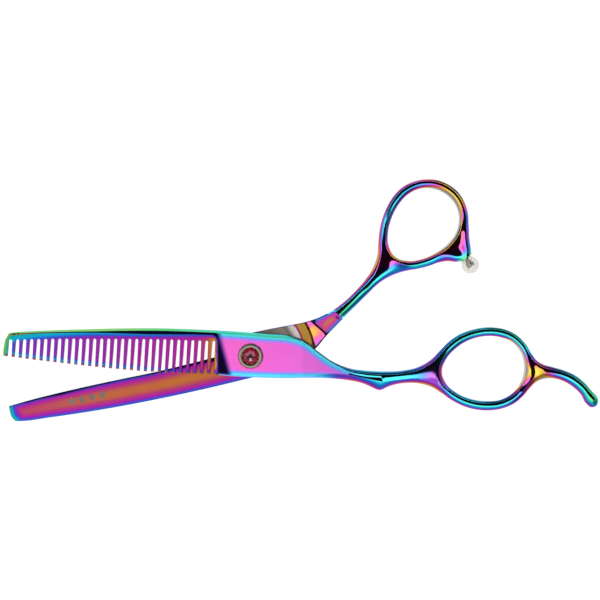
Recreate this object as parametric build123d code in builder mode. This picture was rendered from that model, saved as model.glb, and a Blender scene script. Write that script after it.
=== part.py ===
from build123d import *
import math
import os

os.makedirs("parts", exist_ok=True)

# ---------------------------------------------------------------------------
# Thinning shears, 6.0 in (152 mm from comb tip to the end of the finger ring).
# Millimetres. The shears lie flat: +Z is up, the blades point to -X, the rings
# to +X. The origin is on the pivot axis, in the plane of the tension screw's
# flat underside. The finger half (comb blade) is above the ride plane at the
# pivot and the thumb half (plain blade) is below it; both rings are centred
# on the ride plane. The blades stand 13.2 degrees open.
# ---------------------------------------------------------------------------

# --- heights ---------------------------------------------------------------
Z_RIDE = 4.00            # ride plane between the two blades
RIDE_GAP = 0.24          # gap at the ride plane, filled by the glide washer
COMB_T = 2.50            # comb blade plate thickness at the pivot
PLAIN_T = 2.40           # plain blade plate thickness at the pivot
RING_T = 4.40            # thickness of both rings, centred on the ride plane
Z_A0 = Z_RIDE + RIDE_GAP / 2           # underside of the comb blade
Z_A1 = Z_A0 + COMB_T                   # flat top of the comb blade plate
Z_B1 = Z_RIDE - RIDE_GAP / 2           # ground top of the plain blade
Z_B0 = Z_B1 - PLAIN_T                  # underside of the plain blade
Z_R0 = Z_RIDE - RING_T / 2
Z_R1 = Z_RIDE + RING_T / 2
ROUND = ((0.90, 0.0), (1.60, 0.25), (2.00, 0.70), (2.20, 1.20))
#                        rounding of the handle castings: height from mid-plane, inset
WELD_A_X = 30.0          # weld between comb blade and finger handle
WELD_B_D = 28.0          # weld between plain blade and thumb handle, along the shank
SHANK_B_DIR = 43.0       # direction of the thumb shank, degrees from +X

# --- comb ------------------------------------------------------------------
SLOT_COUNT = 30
SLOT_PITCH = 2.0267
SLOT_X0 = -69.57         # centre of the first slot at y = 1.68
SLOT_LEAN = 3.9          # degrees, slot bottoms lean to the tip
COMB_STEP_X = -9.57      # step wall between the plate and the thin comb
COMB_TIP_T = 1.00        # comb thickness at the tip
COMB_HEEL_T = 1.45       # comb thickness at the step wall

# --- pivot -----------------------------------------------------------------
HEAD_R = 3.60            # jewelled pivot head
SEAT_R = 3.72            # its seat in the comb blade
NECK_R, NECK_FLAT = 2.60, 2.10
SHANK_R = 2.00
BUSH_R = 3.00
RUN = 0.03               # running clearance on radius
SCREW_R = 1.25           # M2.5 tension screw
SCREW_HEAD_R = 3.30
SCREW_HEAD_T = 0.90
GEM_R = 2.42
Z_SEAT = Z_A1 - 0.60
Z_HEAD1 = 7.12

# --- bumper ----------------------------------------------------------------
BUMP_R = 2.50
BOSS_P1 = (63.95, 29.52)
BOSS_P2 = (60.34, 27.10)

# --- outlines (x, y) -------------------------------------------------------
A_SPINE = [(-69.75, 6.62), (-67.6, 6.86), (-62.36, 7.15), (-54.96, 7.45), (-47.55, 7.68),
           (-40.15, 7.87), (-32.74, 7.96), (-25.34, 7.92), (-17.93, 7.70),
           (-10.53, 7.38), (-3.14, 6.94), (4.24, 6.32), (11.62, 5.60)]
A_TIP = [(-69.75, 6.62), (-70.35, 5.65), (-70.84, 4.71), (-71.20, 3.30),
         (-71.44, 1.82), (-71.52, 0.95), (-71.50, 0.06)]
A_TEETH = [(-71.50, 0.06), (-64.60, -0.90), (-56.60, -1.85), (-44.45, -3.22),
           (-32.40, -4.32), (-20.00, -5.08), (-9.57, -5.43)]
A_HEEL = [(-9.57, -5.43), (-3.0, -5.95), (3.38, -6.24), (7.56, -6.35), (11.74, -6.38),
          (15.92, -6.35), (20.10, -6.38), (24.27, -6.64), (28.41, -7.18), (32.48, -8.10)]
A_SHOULDER = [(11.62, 5.60), (13.90, 4.95), (15.93, 3.95), (19.66, 1.09), (23.55, -1.60),
              (27.88, -3.42), (32.54, -4.17)]
A_HANDLE = [(27.88, -3.42), (32.54, -4.17), (36.50, -4.45), (40.50, -4.50),
            (44.30, -4.20), (48.26, -3.30), (52.27, -0.98), (54.90, 1.70),
            (57.14, 3.95), (60.05, 6.02), (63.41, 7.36), (66.85, 8.11),
            (70.40, 8.20), (73.89, 7.52), (77.00, 5.93), (79.53, 3.45),
            (81.50, 0.25), (82.60, -1.20), (84.40, -2.38), (87.47, -3.30),
            (90.71, -4.24), (93.80, -5.62), (96.50, -7.72), (98.86, -10.36),
            (100.26, -11.95), (100.58, -13.42), (99.80, -14.66), (98.36, -14.92),
            (97.14, -14.00), (95.33, -11.05), (93.25, -9.09), (90.84, -7.60),
            (88.19, -6.72), (85.39, -6.62), (82.77, -7.55), (80.90, -9.25),
            (78.90, -11.60), (76.17, -13.88), (72.67, -15.32), (68.93, -15.86),
            (65.16, -15.62), (61.51, -14.62), (58.14, -12.92), (55.07, -10.80),
            (51.77, -8.93), (48.31, -8.03), (44.80, -7.96), (41.35, -8.60),
            (39.20, -9.25), (37.20, -9.75), (35.20, -9.17), (32.48, -8.10),
            (28.41, -7.18)]
A_HOLE = [(67.25, 5.58), (63.21, 4.50), (59.60, 2.32), (56.70, -0.80),
          (55.35, -4.61), (56.75, -8.33), (60.12, -11.05), (64.01, -12.58),
          (68.16, -13.13), (72.33, -12.70), (75.95, -10.61), (78.32, -7.25),
          (79.06, -3.17), (78.12, 0.90), (75.42, 3.97), (71.45, 5.48)]
B_EDGE = [(-69.45, -14.46), (-62.90, -12.58), (-56.28, -10.92), (-49.62, -9.38),
          (-42.95, -7.91), (-36.26, -6.50), (-29.56, -5.14), (-19.50, -2.75), (-9.50, -0.20)]
B_TIP = [(-69.45, -14.46), (-69.98, -15.20), (-69.95, -16.60), (-69.25, -18.10), (-68.10, -18.98)]
B_BACK = [(-68.10, -18.98), (-66.85, -18.96), (-57.25, -17.76), (-47.69, -16.35), (-38.16, -14.74),
          (-28.65, -12.92), (-19.20, -10.95), (-9.77, -8.81), (-0.38, -6.53),
          (6.20, -4.95), (12.20, -2.80), (16.00, -0.40), (18.99, 2.31)]
B_TOPHEEL = [(-9.50, -0.20), (-7.60, 2.30), (-5.20, 4.55), (-2.00, 6.00), (3.38, 7.30)]
B_NECK_TOP = [(3.38, 7.30), (7.64, 8.15), (11.90, 8.93), (16.15, 9.85), (20.20, 11.28),
              (23.96, 13.38), (27.39, 16.01), (30.50, 19.02)]
B_NECK_BOT = [(18.99, 2.31), (21.75, 5.60), (24.72, 8.75), (27.69, 11.83), (30.80, 14.87)]
B_HANDLE = [(23.96, 13.38), (27.39, 16.01), (30.50, 19.02), (33.27, 22.30),
            (35.33, 25.50), (36.52, 28.96), (36.85, 32.68), (37.25, 36.39),
            (38.13, 40.00), (39.57, 43.46), (41.54, 46.58), (44.25, 49.10),
            (47.00, 50.40), (49.90, 51.05), (53.10, 51.00), (56.29, 50.02),
            (59.40, 47.98), (61.60, 44.97), (62.80, 41.42), (63.08, 37.66),
            (63.27, 33.97), (63.60, 31.62), (63.95, 29.52),
            (64.38, 28.55), (64.75, 27.10), (64.00, 25.75), (62.42, 25.35),
            (61.10, 26.10), (60.34, 27.10), (59.15, 27.12), (57.00, 27.33), (54.49, 26.98), (51.58, 25.98),
            (48.55, 25.19), (45.45, 24.65), (42.43, 23.82), (39.56, 22.56),
            (36.95, 20.85), (33.86, 17.92), (30.80, 14.87), (27.69, 11.83),
            (24.72, 8.75)]
B_HOLE = [(49.05, 48.34), (45.40, 46.58), (42.67, 43.55), (40.80, 39.93),
          (39.77, 35.98), (39.90, 31.90), (41.92, 28.60), (45.79, 27.47),
          (49.82, 28.10), (53.53, 29.76), (56.78, 32.23), (59.22, 35.44),
          (60.20, 39.39), (59.33, 43.33), (56.67, 46.46), (53.12, 48.22)]

# derived
e_b = (math.cos(math.radians(SHANK_B_DIR)), math.sin(math.radians(SHANK_B_DIR)))
boss_c = ((BOSS_P1[0] + BOSS_P2[0]) / 2, (BOSS_P1[1] + BOSS_P2[1]) / 2)
face_len = math.dist(BOSS_P1, BOSS_P2)
face_dir = ((BOSS_P1[0] - BOSS_P2[0]) / face_len, (BOSS_P1[1] - BOSS_P2[1]) / face_len)
boss_n = (face_dir[1], -face_dir[0])          # outward normal of the bumper seat
boss_plane = Plane(origin=(boss_c[0], boss_c[1], Z_RIDE), x_dir=(face_dir[0], face_dir[1], 0),
                   z_dir=(boss_n[0], boss_n[1], 0))
bump_c = (boss_c[0] + boss_n[0] * 2.42, boss_c[1] + boss_n[1] * 2.42, Z_RIDE)


def unit(x, y):
    m = math.hypot(x, y)
    return (x / m, y / m)


def tangents(pts, closed):
    """Tangent directions of a smooth curve through the points."""
    n = len(pts)
    out = []
    for i in range(n):
        if closed or 0 < i < n - 1:
            a, b, c = pts[i - 1], pts[i], pts[(i + 1) % n]
        elif i == 0:
            a, b, c = pts[0], pts[1], pts[2]
        else:
            a, b, c = pts[n - 3], pts[n - 2], pts[n - 1]
        h1, h2 = math.dist(a, b), math.dist(b, c)
        d1 = ((b[0] - a[0]) / h1, (b[1] - a[1]) / h1)
        d2 = ((c[0] - b[0]) / h2, (c[1] - b[1]) / h2)
        t = ((d1[0] * h2 + d2[0] * h1) / (h1 + h2), (d1[1] * h2 + d2[1] * h1) / (h1 + h2))
        if not closed and i == 0:
            t = (2 * d1[0] - t[0], 2 * d1[1] - t[1])
        elif not closed and i == n - 1:
            t = (2 * d2[0] - t[0], 2 * d2[1] - t[1])
        out.append(unit(*t))
    return out


def arcs(pts, closed=False):
    """Tangent arcs through the points, two between each pair, each as
    (start, tangent there), (middle, tangent there), (end, tangent there)."""
    ts = tangents(pts, closed)
    n = len(pts)
    out = []
    for i in range(n if closed else n - 1):
        p, q, t0, t1 = pts[i], pts[(i + 1) % n], ts[i], ts[(i + 1) % n]
        v = (q[0] - p[0], q[1] - p[1])
        vt = v[0] * (t0[0] + t1[0]) + v[1] * (t0[1] + t1[1])
        vv = v[0] ** 2 + v[1] ** 2
        k = 2 * (1 - t0[0] * t1[0] - t0[1] * t1[1])
        d = vv / (2 * vt) if k < 1e-9 else (-vt + math.sqrt(vt * vt + k * vv)) / k
        j = ((p[0] + q[0] + d * (t0[0] - t1[0])) / 2, (p[1] + q[1] + d * (t0[1] - t1[1])) / 2)
        for st, en, t in ((p, j, t0), (j, q, None)):
            c = unit(en[0] - st[0], en[1] - st[1])
            if t is None:
                t = tj
            dot = c[0] * t[0] + c[1] * t[1]
            te = (2 * dot * c[0] - t[0], 2 * dot * c[1] - t[1])
            th = math.atan2(c[0] * t[1] - c[1] * t[0], dot)
            sag = 0.5 * math.dist(st, en) * math.tan(th / 2)
            mid = ((st[0] + en[0]) / 2 - c[1] * sag, (st[1] + en[1]) / 2 + c[0] * sag)
            out.append(((st, t), (mid, c), (en, te), sag))
            tj = te
    return out


def smooth(pts, closed=False, inset=0.0):
    """Draw the arcs; an inset moves them to the right of their direction."""
    for a, m, b, sag in arcs(pts, closed):
        p, q, r = ((c[0][0] + inset * c[1][1], c[0][1] - inset * c[1][0]) for c in (a, m, b))
        if abs(sag) < 2e-5:
            Line(p, r)
        else:
            ThreePointArc(p, q, r)


def first(pts, inset=0.0):
    (p, t) = arcs(pts)[0][0]
    return (p[0] + inset * t[1], p[1] - inset * t[0])


def last(pts, inset=0.0):
    (p, t) = arcs(pts)[-1][2]
    return (p[0] + inset * t[1], p[1] - inset * t[0])


def side_plane(y):
    """Vertical plane facing -Y, its sketch x along +X and its y along +Z."""
    return Plane(origin=(0, y, 0), x_dir=(1, 0, 0), z_dir=(0, -1, 0))


# ---------------------------------------------------------------------------
# comb_blade: plate, thin comb with 30 round-ended slots, spine rib, shank
# ---------------------------------------------------------------------------
with BuildPart() as comb_blade:
    with BuildSketch(Plane.XY.offset(Z_R0)):
        with BuildLine():
            smooth(A_TIP)
            smooth(A_TEETH)
            smooth(A_HEEL)
            Line(A_HEEL[-1], A_SHOULDER[-1])
            smooth(A_SHOULDER[::-1])
            smooth(A_SPINE[::-1])
        make_face()
    extrude(amount=Z_A1 - Z_R0)
    # outer chamfer along the spine and the shoulder
    top_edges = comb_blade.edges().filter_by(
        lambda e: abs(e.center().Z - Z_A1) < 0.01 and -69.6 < e.center().X < 32.0
        and e.center().Y > (4.2 if e.center().X < 12 else -4.6))
    chamfer(top_edges, length=0.55)
    # flat ride face, then the sloped underside down to the handle
    with BuildSketch(side_plane(20)):
        Polygon((-80.0, 0.0), (-80.0, Z_A0), (21.2, Z_A0), (28.5, Z_R0), (28.5, 0.0), align=None)
    extrude(amount=40, mode=Mode.SUBTRACT)
    # sloped top from the plate down to the handle
    with BuildSketch(side_plane(10)):
        Polygon((15.0, Z_A1), (29.0, Z_R1), (40.0, Z_R1), (40.0, 9.0), (15.0, 9.0), align=None)
    extrude(amount=30, mode=Mode.SUBTRACT)
    # thin comb: a recess with a rounded corner at the step wall, its floor
    # falling towards the tip, and a rib left standing along the spine
    fall = (COMB_HEEL_T - COMB_TIP_T) / (71.5 + COMB_STEP_X)
    floor_plane = Plane(origin=(COMB_STEP_X, 0, Z_A0 + COMB_HEEL_T), x_dir=(1, 0, fall),
                        z_dir=(-fall, 0, 1))
    with BuildSketch(floor_plane):
        with BuildLine():
            Line((0, -9), (0, 4.2))
            ThreePointArc((0, 4.2), (-1.3 + 1.3 * math.sqrt(0.5), 4.2 + 1.3 * math.sqrt(0.5)), (-1.3, 5.5))
            Polyline((-1.3, 5.5), (-34.0, 6.42), (-50.4, 6.5), (-50.4, 12.0), (-66.0, 12.0),
                     (-66.0, -9.0), (0, -9))
        make_face()
    extrude(amount=5, mode=Mode.SUBTRACT)
    # the rib falls towards the tip
    with BuildSketch(side_plane(12)):
        Polygon((COMB_STEP_X, Z_A1), (-60.2, Z_A0 + 1.35), (-60.2, 9.0), (COMB_STEP_X, 9.0), align=None)
    extrude(amount=9, mode=Mode.SUBTRACT)
    # slots between the teeth
    with BuildSketch(Plane.XY.offset(Z_A0 - 1)):
        for i in range(SLOT_COUNT):
            xc = SLOT_X0 + SLOT_PITCH * i
            top = (4.74, 4.97, 4.94, 4.80, 4.28)
            tt = i / (SLOT_COUNT - 1) * 4
            j = min(3, int(tt))
            y_top = top[j] + (top[j + 1] - top[j]) * (tt - j)
            y_bot = -0.2 - 5.6 * (i / (SLOT_COUNT - 1)) ** 0.85 - 1.2
            depth = y_top - (y_bot + 1.2)
            w_bot = 0.615
            w_top = 0.615 - 0.0058 * depth * 3.46
            lean = math.tan(math.radians(SLOT_LEAN))
            yr = y_top - w_top
            xt = xc + (yr - 1.68) * lean
            xb = xc + (y_bot - 1.68) * lean
            with BuildLine():
                Polyline((xt - w_top, yr), (xb - w_bot, y_bot), (xb + w_bot, y_bot), (xt + w_top, yr))
                ThreePointArc((xt + w_top, yr), (xt, y_top), (xt - w_top, yr))
            make_face()
    extrude(amount=6, mode=Mode.SUBTRACT)
    # jewelled head seat and the double-D hole that keys the pivot stud
    with BuildSketch(Plane.XY.offset(Z_SEAT)):
        Circle(SEAT_R)
    extrude(amount=3, mode=Mode.SUBTRACT)
    with BuildSketch(Plane.XY.offset(Z_A0 - 1)) as dd:
        Circle(NECK_R + 0.02)
        Rectangle(10, 2 * (NECK_FLAT + 0.02), mode=Mode.INTERSECT)
    extrude(amount=4, mode=Mode.SUBTRACT)
    split(bisect_by=Plane(origin=(WELD_A_X, 0, 0), z_dir=(1, 0, 0)), keep=Keep.BOTTOM)
comb_blade.part.label = "comb_blade"

# ---------------------------------------------------------------------------
# finger_handle: shank, index-finger bump, finger ring and curved tang
# ---------------------------------------------------------------------------
with BuildPart() as finger_handle:
    for z, inset in [(-h, d) for h, d in ROUND[::-1]] + list(ROUND):
        with BuildSketch(Plane.XY.offset(Z_RIDE + z)):
            with BuildLine():
                smooth(A_HANDLE, inset=inset)
                Line(last(A_HANDLE, inset), first(A_HANDLE, inset))
            make_face()
    loft(ruled=True)
    for z, inset in [(-h, d) for h, d in ROUND[::-1]] + list(ROUND):
        with BuildSketch(Plane.XY.offset(Z_RIDE + z)):
            with BuildLine():
                smooth(A_HOLE, closed=True, inset=inset)
            make_face()
    loft(ruled=True, mode=Mode.SUBTRACT)
    split(bisect_by=Plane(origin=(WELD_A_X, 0, 0), z_dir=(1, 0, 0)), keep=Keep.TOP)
finger_handle.part.label = "finger_handle"

# ---------------------------------------------------------------------------
# plain_blade: tapered cutting blade, ground pivot face, stepped neck, shank
# ---------------------------------------------------------------------------
with BuildPart() as plain_blade:
    with BuildSketch(Plane.XY.offset(Z_B0)):
        with BuildLine():
            smooth(B_EDGE)
            smooth(B_TOPHEEL)
            smooth(B_NECK_TOP)
            Line(B_NECK_TOP[-1], B_NECK_BOT[-1])
            smooth(B_NECK_BOT[::-1])
            smooth(B_BACK[::-1])
            smooth(B_TIP[::-1])
        make_face()
    extrude(amount=PLAIN_T)
    # raised neck outside the swing of the comb blade's plate
    with BuildSketch(Plane.XY.offset(Z_B1 - 0.3)):
        with BuildLine():
            smooth(B_NECK_TOP[2:])
            Line(B_NECK_TOP[-1], B_NECK_BOT[-1])
            smooth(B_NECK_BOT[::-1])
            Line(B_NECK_BOT[0], B_NECK_TOP[2])
        make_face()
    extrude(amount=Z_R1 - Z_B1 + 0.3)
    # keep the ride side free to a radius, then ramp up to the shank
    with BuildSketch(Plane.XZ):
        Polygon((0, Z_B1), (15.3, Z_B1), (15.3, Z_B1 - 0.10), (18.1, Z_B1 - 0.10),
                (18.1, Z_B1 - 0.50), (21.3, Z_B1 - 0.12), (26.2, Z_R1 - 0.15),
                (30.0, Z_R1), (60, Z_R1), (60, 12), (0, 12), align=None)
    revolve(axis=Axis.Z, revolution_arc=360, mode=Mode.SUBTRACT)
    # blade underside: taper to the tip, and the outer bevel to the cutting edge
    with BuildSketch(side_plane(20)):
        Polygon((-10.0, Z_B0), (-10.0, 0.0), (-75.0, 0.0), (-75.0, Z_B1 - 1.15), align=None)
    extrude(amount=50, mode=Mode.SUBTRACT)
    edge_dir = (B_EDGE[-1][0] - B_EDGE[0][0], B_EDGE[-1][1] - B_EDGE[0][1])
    edge_ang = math.atan2(edge_dir[1], edge_dir[0])
    u = (math.cos(edge_ang), math.sin(edge_ang))
    n = (-u[1], u[0])
    with BuildSketch(Plane(origin=(B_EDGE[0][0] - 8 * u[0], B_EDGE[0][1] - 8 * u[1], 0),
                           x_dir=(n[0], n[1], 0), z_dir=(u[0], u[1], 0))):
        Polygon((2.0, Z_B1 + 0.25), (-7.2, Z_B0), (-7.2, -1.0), (6.0, -1.0), (6.0, Z_B1 + 0.25), align=None)
    extrude(amount=8 + 62.0, mode=Mode.SUBTRACT)
    with BuildSketch(Plane.XY.offset(Z_B0 - 1)):
        Circle(BUSH_R)
    extrude(amount=5, mode=Mode.SUBTRACT)
    split(bisect_by=Plane(origin=(e_b[0] * WELD_B_D, e_b[1] * WELD_B_D, 0),
                          z_dir=(e_b[0], e_b[1], 0)), keep=Keep.BOTTOM)
plain_blade.part.label = "plain_blade"

# ---------------------------------------------------------------------------
# thumb_handle: shank, thumb ring and the boss that carries the bumper
# ---------------------------------------------------------------------------
with BuildPart() as thumb_handle:
    for z, inset in [(-h, d) for h, d in ROUND[::-1]] + list(ROUND):
        with BuildSketch(Plane.XY.offset(Z_RIDE + z)):
            with BuildLine():
                smooth(B_HANDLE, inset=inset)
                Line(last(B_HANDLE, inset), first(B_HANDLE, inset))
            make_face()
    loft(ruled=True)
    for z, inset in [(-h, d) for h, d in ROUND[::-1]] + list(ROUND):
        with BuildSketch(Plane.XY.offset(Z_RIDE + z)):
            with BuildLine():
                smooth(B_HOLE, closed=True, inset=inset)
            make_face()
    loft(ruled=True, mode=Mode.SUBTRACT)
    # flat seat of the bumper, with the stud's hole
    split(bisect_by=boss_plane, keep=Keep.BOTTOM)
    with BuildSketch(boss_plane):
        Circle(0.92)
    extrude(amount=-4.4, mode=Mode.SUBTRACT)
    split(bisect_by=Plane(origin=(e_b[0] * WELD_B_D, e_b[1] * WELD_B_D, 0),
                          z_dir=(e_b[0], e_b[1], 0)), keep=Keep.TOP)
thumb_handle.part.label = "thumb_handle"

# ---------------------------------------------------------------------------
# pivot_stud: bezel head for the stone, double-D neck, tubular threaded shank
# ---------------------------------------------------------------------------
with BuildPart() as pivot_stud:
    with BuildSketch(Plane.XY.offset(Z_SEAT + 0.02)):
        Circle(HEAD_R)
    extrude(amount=Z_HEAD1 - Z_SEAT - 0.02)
    chamfer(pivot_stud.faces().sort_by(Axis.Z)[-1].edges(), length=0.38)
    with BuildSketch(Plane.XY.offset(Z_A0)):
        Circle(NECK_R)
        Rectangle(10, 2 * NECK_FLAT, mode=Mode.INTERSECT)
    extrude(amount=Z_SEAT + 0.02 - Z_A0)
    with BuildSketch(Plane.XY.offset(Z_B0 + 0.27)):
        Circle(SHANK_R)
    extrude(amount=Z_A0 - Z_B0 - 0.27)
    with BuildSketch(Plane.XY.offset(Z_HEAD1 - 0.58)):
        Circle(GEM_R + 0.04)
    extrude(amount=2, mode=Mode.SUBTRACT)
    with BuildSketch(Plane.XY.offset(Z_B0)):
        Circle(SCREW_R + RUN)
    extrude(amount=5.65 - Z_B0, mode=Mode.SUBTRACT)
pivot_stud.part.label = "pivot_stud"

# gem_foil: mirror foil cup under the stone
with BuildPart() as gem_foil:
    with BuildSketch(Plane.XY.offset(Z_HEAD1 - 0.57)):
        Circle(GEM_R - 0.10)
    extrude(amount=0.09)
gem_foil.part.label = "gem_foil"

# pivot_gem: faceted round stone with a flat table, glued in the bezel
with BuildPart() as pivot_gem:
    with BuildSketch(Plane.XZ):
        Polygon((0, Z_HEAD1 - 0.47), (1.9, Z_HEAD1 - 0.47), (GEM_R, Z_HEAD1 - 0.18),
                (GEM_R, Z_HEAD1 - 0.06), (1.30, Z_HEAD1 + 0.33), (0, Z_HEAD1 + 0.33), align=None)
    revolve(axis=Axis.Z)
pivot_gem.part.label = "pivot_gem"

# pivot_bush: bronze sleeve pressed in the plain blade
with BuildPart() as pivot_bush:
    with BuildSketch(Plane.XY.offset(Z_B0)):
        Circle(BUSH_R)
        Circle(SHANK_R + RUN, mode=Mode.SUBTRACT)
    extrude(amount=PLAIN_T)
pivot_bush.part.label = "pivot_bush"

# glide_washer: PTFE ring between the two blades
with BuildPart() as glide_washer:
    with BuildSketch(Plane.XY.offset(Z_B1 + 0.02)):
        Circle(4.70)
        Circle(SHANK_R + 0.05, mode=Mode.SUBTRACT)
    extrude(amount=RIDE_GAP - 0.04)
glide_washer.part.label = "glide_washer"

# flat_washer: brass washer against the plain blade
with BuildPart() as flat_washer:
    with BuildSketch(Plane.XY.offset(Z_B0 - 0.24)):
        Circle(3.30)
        Circle(SCREW_R + 0.10, mode=Mode.SUBTRACT)
    extrude(amount=0.22)
flat_washer.part.label = "flat_washer"

# spring_washer: conical tension washer under the screw head
with BuildPart() as spring_washer:
    with BuildSketch(Plane.XZ):
        Polygon((SCREW_R + 0.10, 0.97), (3.15, 0.92), (3.15, 1.14), (SCREW_R + 0.10, 1.21), align=None)
    revolve(axis=Axis.Z)
spring_washer.part.label = "spring_washer"

# tension_screw: slotted screw from below
with BuildPart() as tension_screw:
    with BuildSketch(Plane.XY):
        Circle(SCREW_HEAD_R)
    extrude(amount=SCREW_HEAD_T)
    chamfer(tension_screw.faces().sort_by(Axis.Z)[0].edges(), length=0.25)
    with BuildSketch(Plane.XY.offset(SCREW_HEAD_T)):
        Circle(SCREW_R)
    extrude(amount=5.25 - SCREW_HEAD_T)
    chamfer(tension_screw.faces().sort_by(Axis.Z)[-1].edges(), length=0.3)
    with BuildSketch(Plane.XY.offset(-0.1)):
        SlotOverall(4.8, 0.9)            # key slot, closed at both ends
    extrude(amount=0.1 + 0.5, mode=Mode.SUBTRACT)
tension_screw.part.label = "tension_screw"

# bumper_stud: threaded metal stud with a head moulded in the bumper
with BuildPart() as bumper_stud:
    with BuildSketch(boss_plane.offset(-4.0)):
        Circle(0.90)
    extrude(amount=4.0)
    with BuildSketch(boss_plane):
        Circle(1.55)
    extrude(amount=0.35)
    with BuildSketch(boss_plane.offset(0.35)):
        Circle(0.62)
    extrude(amount=1.2)
    with BuildSketch(boss_plane.offset(1.55)):
        Circle(1.15)
    extrude(amount=1.5)
    stud_axis = Axis((boss_c[0], boss_c[1], Z_RIDE), (boss_n[0], boss_n[1], 0))
    chamfer(bumper_stud.faces().sort_by(stud_axis)[-1].edges(), length=0.35)
bumper_stud.part.label = "bumper_stud"

# bumper: clear silicone ball over the stud's head
with BuildPart() as bumper:
    with Locations(Location(bump_c)):
        Sphere(BUMP_R)
    # flat that seats on the boss
    with BuildSketch(boss_plane.offset(0.02)):
        Rectangle(12, 12)
    extrude(amount=-6, mode=Mode.SUBTRACT)
    with BuildSketch(boss_plane.offset(-1)):
        Circle(1.57)
    extrude(amount=1.37, mode=Mode.SUBTRACT)
    with BuildSketch(boss_plane.offset(0.30)):
        Circle(0.64)
    extrude(amount=1.3, mode=Mode.SUBTRACT)
    with BuildSketch(boss_plane.offset(1.53)):
        Circle(1.17)
    extrude(amount=1.54, mode=Mode.SUBTRACT)
bumper.part.label = "bumper"

# ---------------------------------------------------------------------------
# one STEP file per piece
# ---------------------------------------------------------------------------
for piece in (comb_blade, finger_handle, plain_blade, thumb_handle, pivot_stud,
              gem_foil, pivot_gem, pivot_bush, glide_washer, flat_washer,
              spring_washer, tension_screw, bumper_stud, bumper):
    export_step(piece.part, "parts/" + piece.part.label + ".step")
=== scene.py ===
import math

import bpy
import numpy as np
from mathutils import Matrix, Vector, kdtree
from mathutils.geometry import delaunay_2d_cdt


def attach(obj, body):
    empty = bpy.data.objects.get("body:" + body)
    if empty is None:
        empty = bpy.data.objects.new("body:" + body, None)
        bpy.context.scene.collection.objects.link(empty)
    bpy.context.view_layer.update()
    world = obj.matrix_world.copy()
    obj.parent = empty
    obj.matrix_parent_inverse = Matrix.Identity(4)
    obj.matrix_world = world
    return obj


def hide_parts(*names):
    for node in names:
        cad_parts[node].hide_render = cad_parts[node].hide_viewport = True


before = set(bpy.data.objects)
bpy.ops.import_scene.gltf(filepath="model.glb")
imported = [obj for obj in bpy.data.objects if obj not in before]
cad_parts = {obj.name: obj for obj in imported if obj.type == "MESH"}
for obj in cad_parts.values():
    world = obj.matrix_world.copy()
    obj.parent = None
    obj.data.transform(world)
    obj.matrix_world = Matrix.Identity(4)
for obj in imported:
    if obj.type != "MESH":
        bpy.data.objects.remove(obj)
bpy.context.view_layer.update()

MM = 0.001
TAU = 2 * math.pi

# ---------------------------------------------------------------------------
# Dimensions in millimetres, the same numbers as in the CAD source.
# ---------------------------------------------------------------------------
Z_RIDE, Z_A0, Z_A1, Z_B1, Z_B0 = 4.00, 4.12, 6.62, 3.88, 1.48
SLOT_COUNT, SLOT_PITCH, SLOT_X0, SLOT_LEAN = 30, 2.0267, -69.57, 3.9
STEP_X = -9.57
HEAD_R, SEAT_R, Z_SEAT, Z_HEAD1, GEM_R = 3.60, 3.72, 6.02, 7.12, 2.42
WELD_A_X, WELD_B_D, SHANK_B_DIR = 30.0, 28.0, 43.0
BOSS_P1, BOSS_P2 = (63.95, 29.52), (60.34, 27.10)

A_SPINE = [(-69.75, 6.62), (-67.6, 6.86), (-62.36, 7.15), (-54.96, 7.45), (-47.55, 7.68),
           (-40.15, 7.87), (-32.74, 7.96), (-25.34, 7.92), (-17.93, 7.70),
           (-10.53, 7.38), (-3.14, 6.94), (4.24, 6.32), (11.62, 5.60)]
A_TIP = [(-69.75, 6.62), (-70.35, 5.65), (-70.84, 4.71), (-71.20, 3.30),
         (-71.44, 1.82), (-71.52, 0.95), (-71.50, 0.06)]
A_TEETH = [(-71.50, 0.06), (-64.60, -0.90), (-56.60, -1.85), (-44.45, -3.22),
           (-32.40, -4.32), (-20.00, -5.08), (-9.57, -5.43)]
A_HEEL = [(-9.57, -5.43), (-3.0, -5.95), (3.38, -6.24), (7.56, -6.35), (11.74, -6.38),
          (15.92, -6.35), (20.10, -6.38), (24.27, -6.64), (28.41, -7.18), (32.48, -8.10)]
A_SHOULDER = [(11.62, 5.60), (13.90, 4.95), (15.93, 3.95), (19.66, 1.09), (23.55, -1.60),
              (27.88, -3.42)]
A_HANDLE = [(32.54, -4.17), (36.50, -4.45), (40.50, -4.50),
            (44.30, -4.20), (48.26, -3.30), (52.27, -0.98), (54.90, 1.70),
            (57.14, 3.95), (60.05, 6.02), (63.41, 7.36), (66.85, 8.11),
            (70.40, 8.20), (73.89, 7.52), (77.00, 5.93), (79.53, 3.45),
            (81.50, 0.25), (82.60, -1.20), (84.40, -2.38), (87.47, -3.30),
            (90.71, -4.24), (93.80, -5.62), (96.50, -7.72), (98.86, -10.36),
            (100.26, -11.95), (100.58, -13.42), (99.80, -14.66), (98.36, -14.92),
            (97.14, -14.00), (95.33, -11.05), (93.25, -9.09), (90.84, -7.60),
            (88.19, -6.72), (85.39, -6.62), (82.77, -7.55), (80.90, -9.25),
            (78.90, -11.60), (76.17, -13.88), (72.67, -15.32), (68.93, -15.86),
            (65.16, -15.62), (61.51, -14.62), (58.14, -12.92), (55.07, -10.80),
            (51.77, -8.93), (48.31, -8.03), (44.80, -7.94), (41.30, -8.50),
            (39.25, -9.22), (38.15, -9.78), (37.32, -9.99), (36.48, -9.84),
            (35.20, -9.28)]
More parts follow.
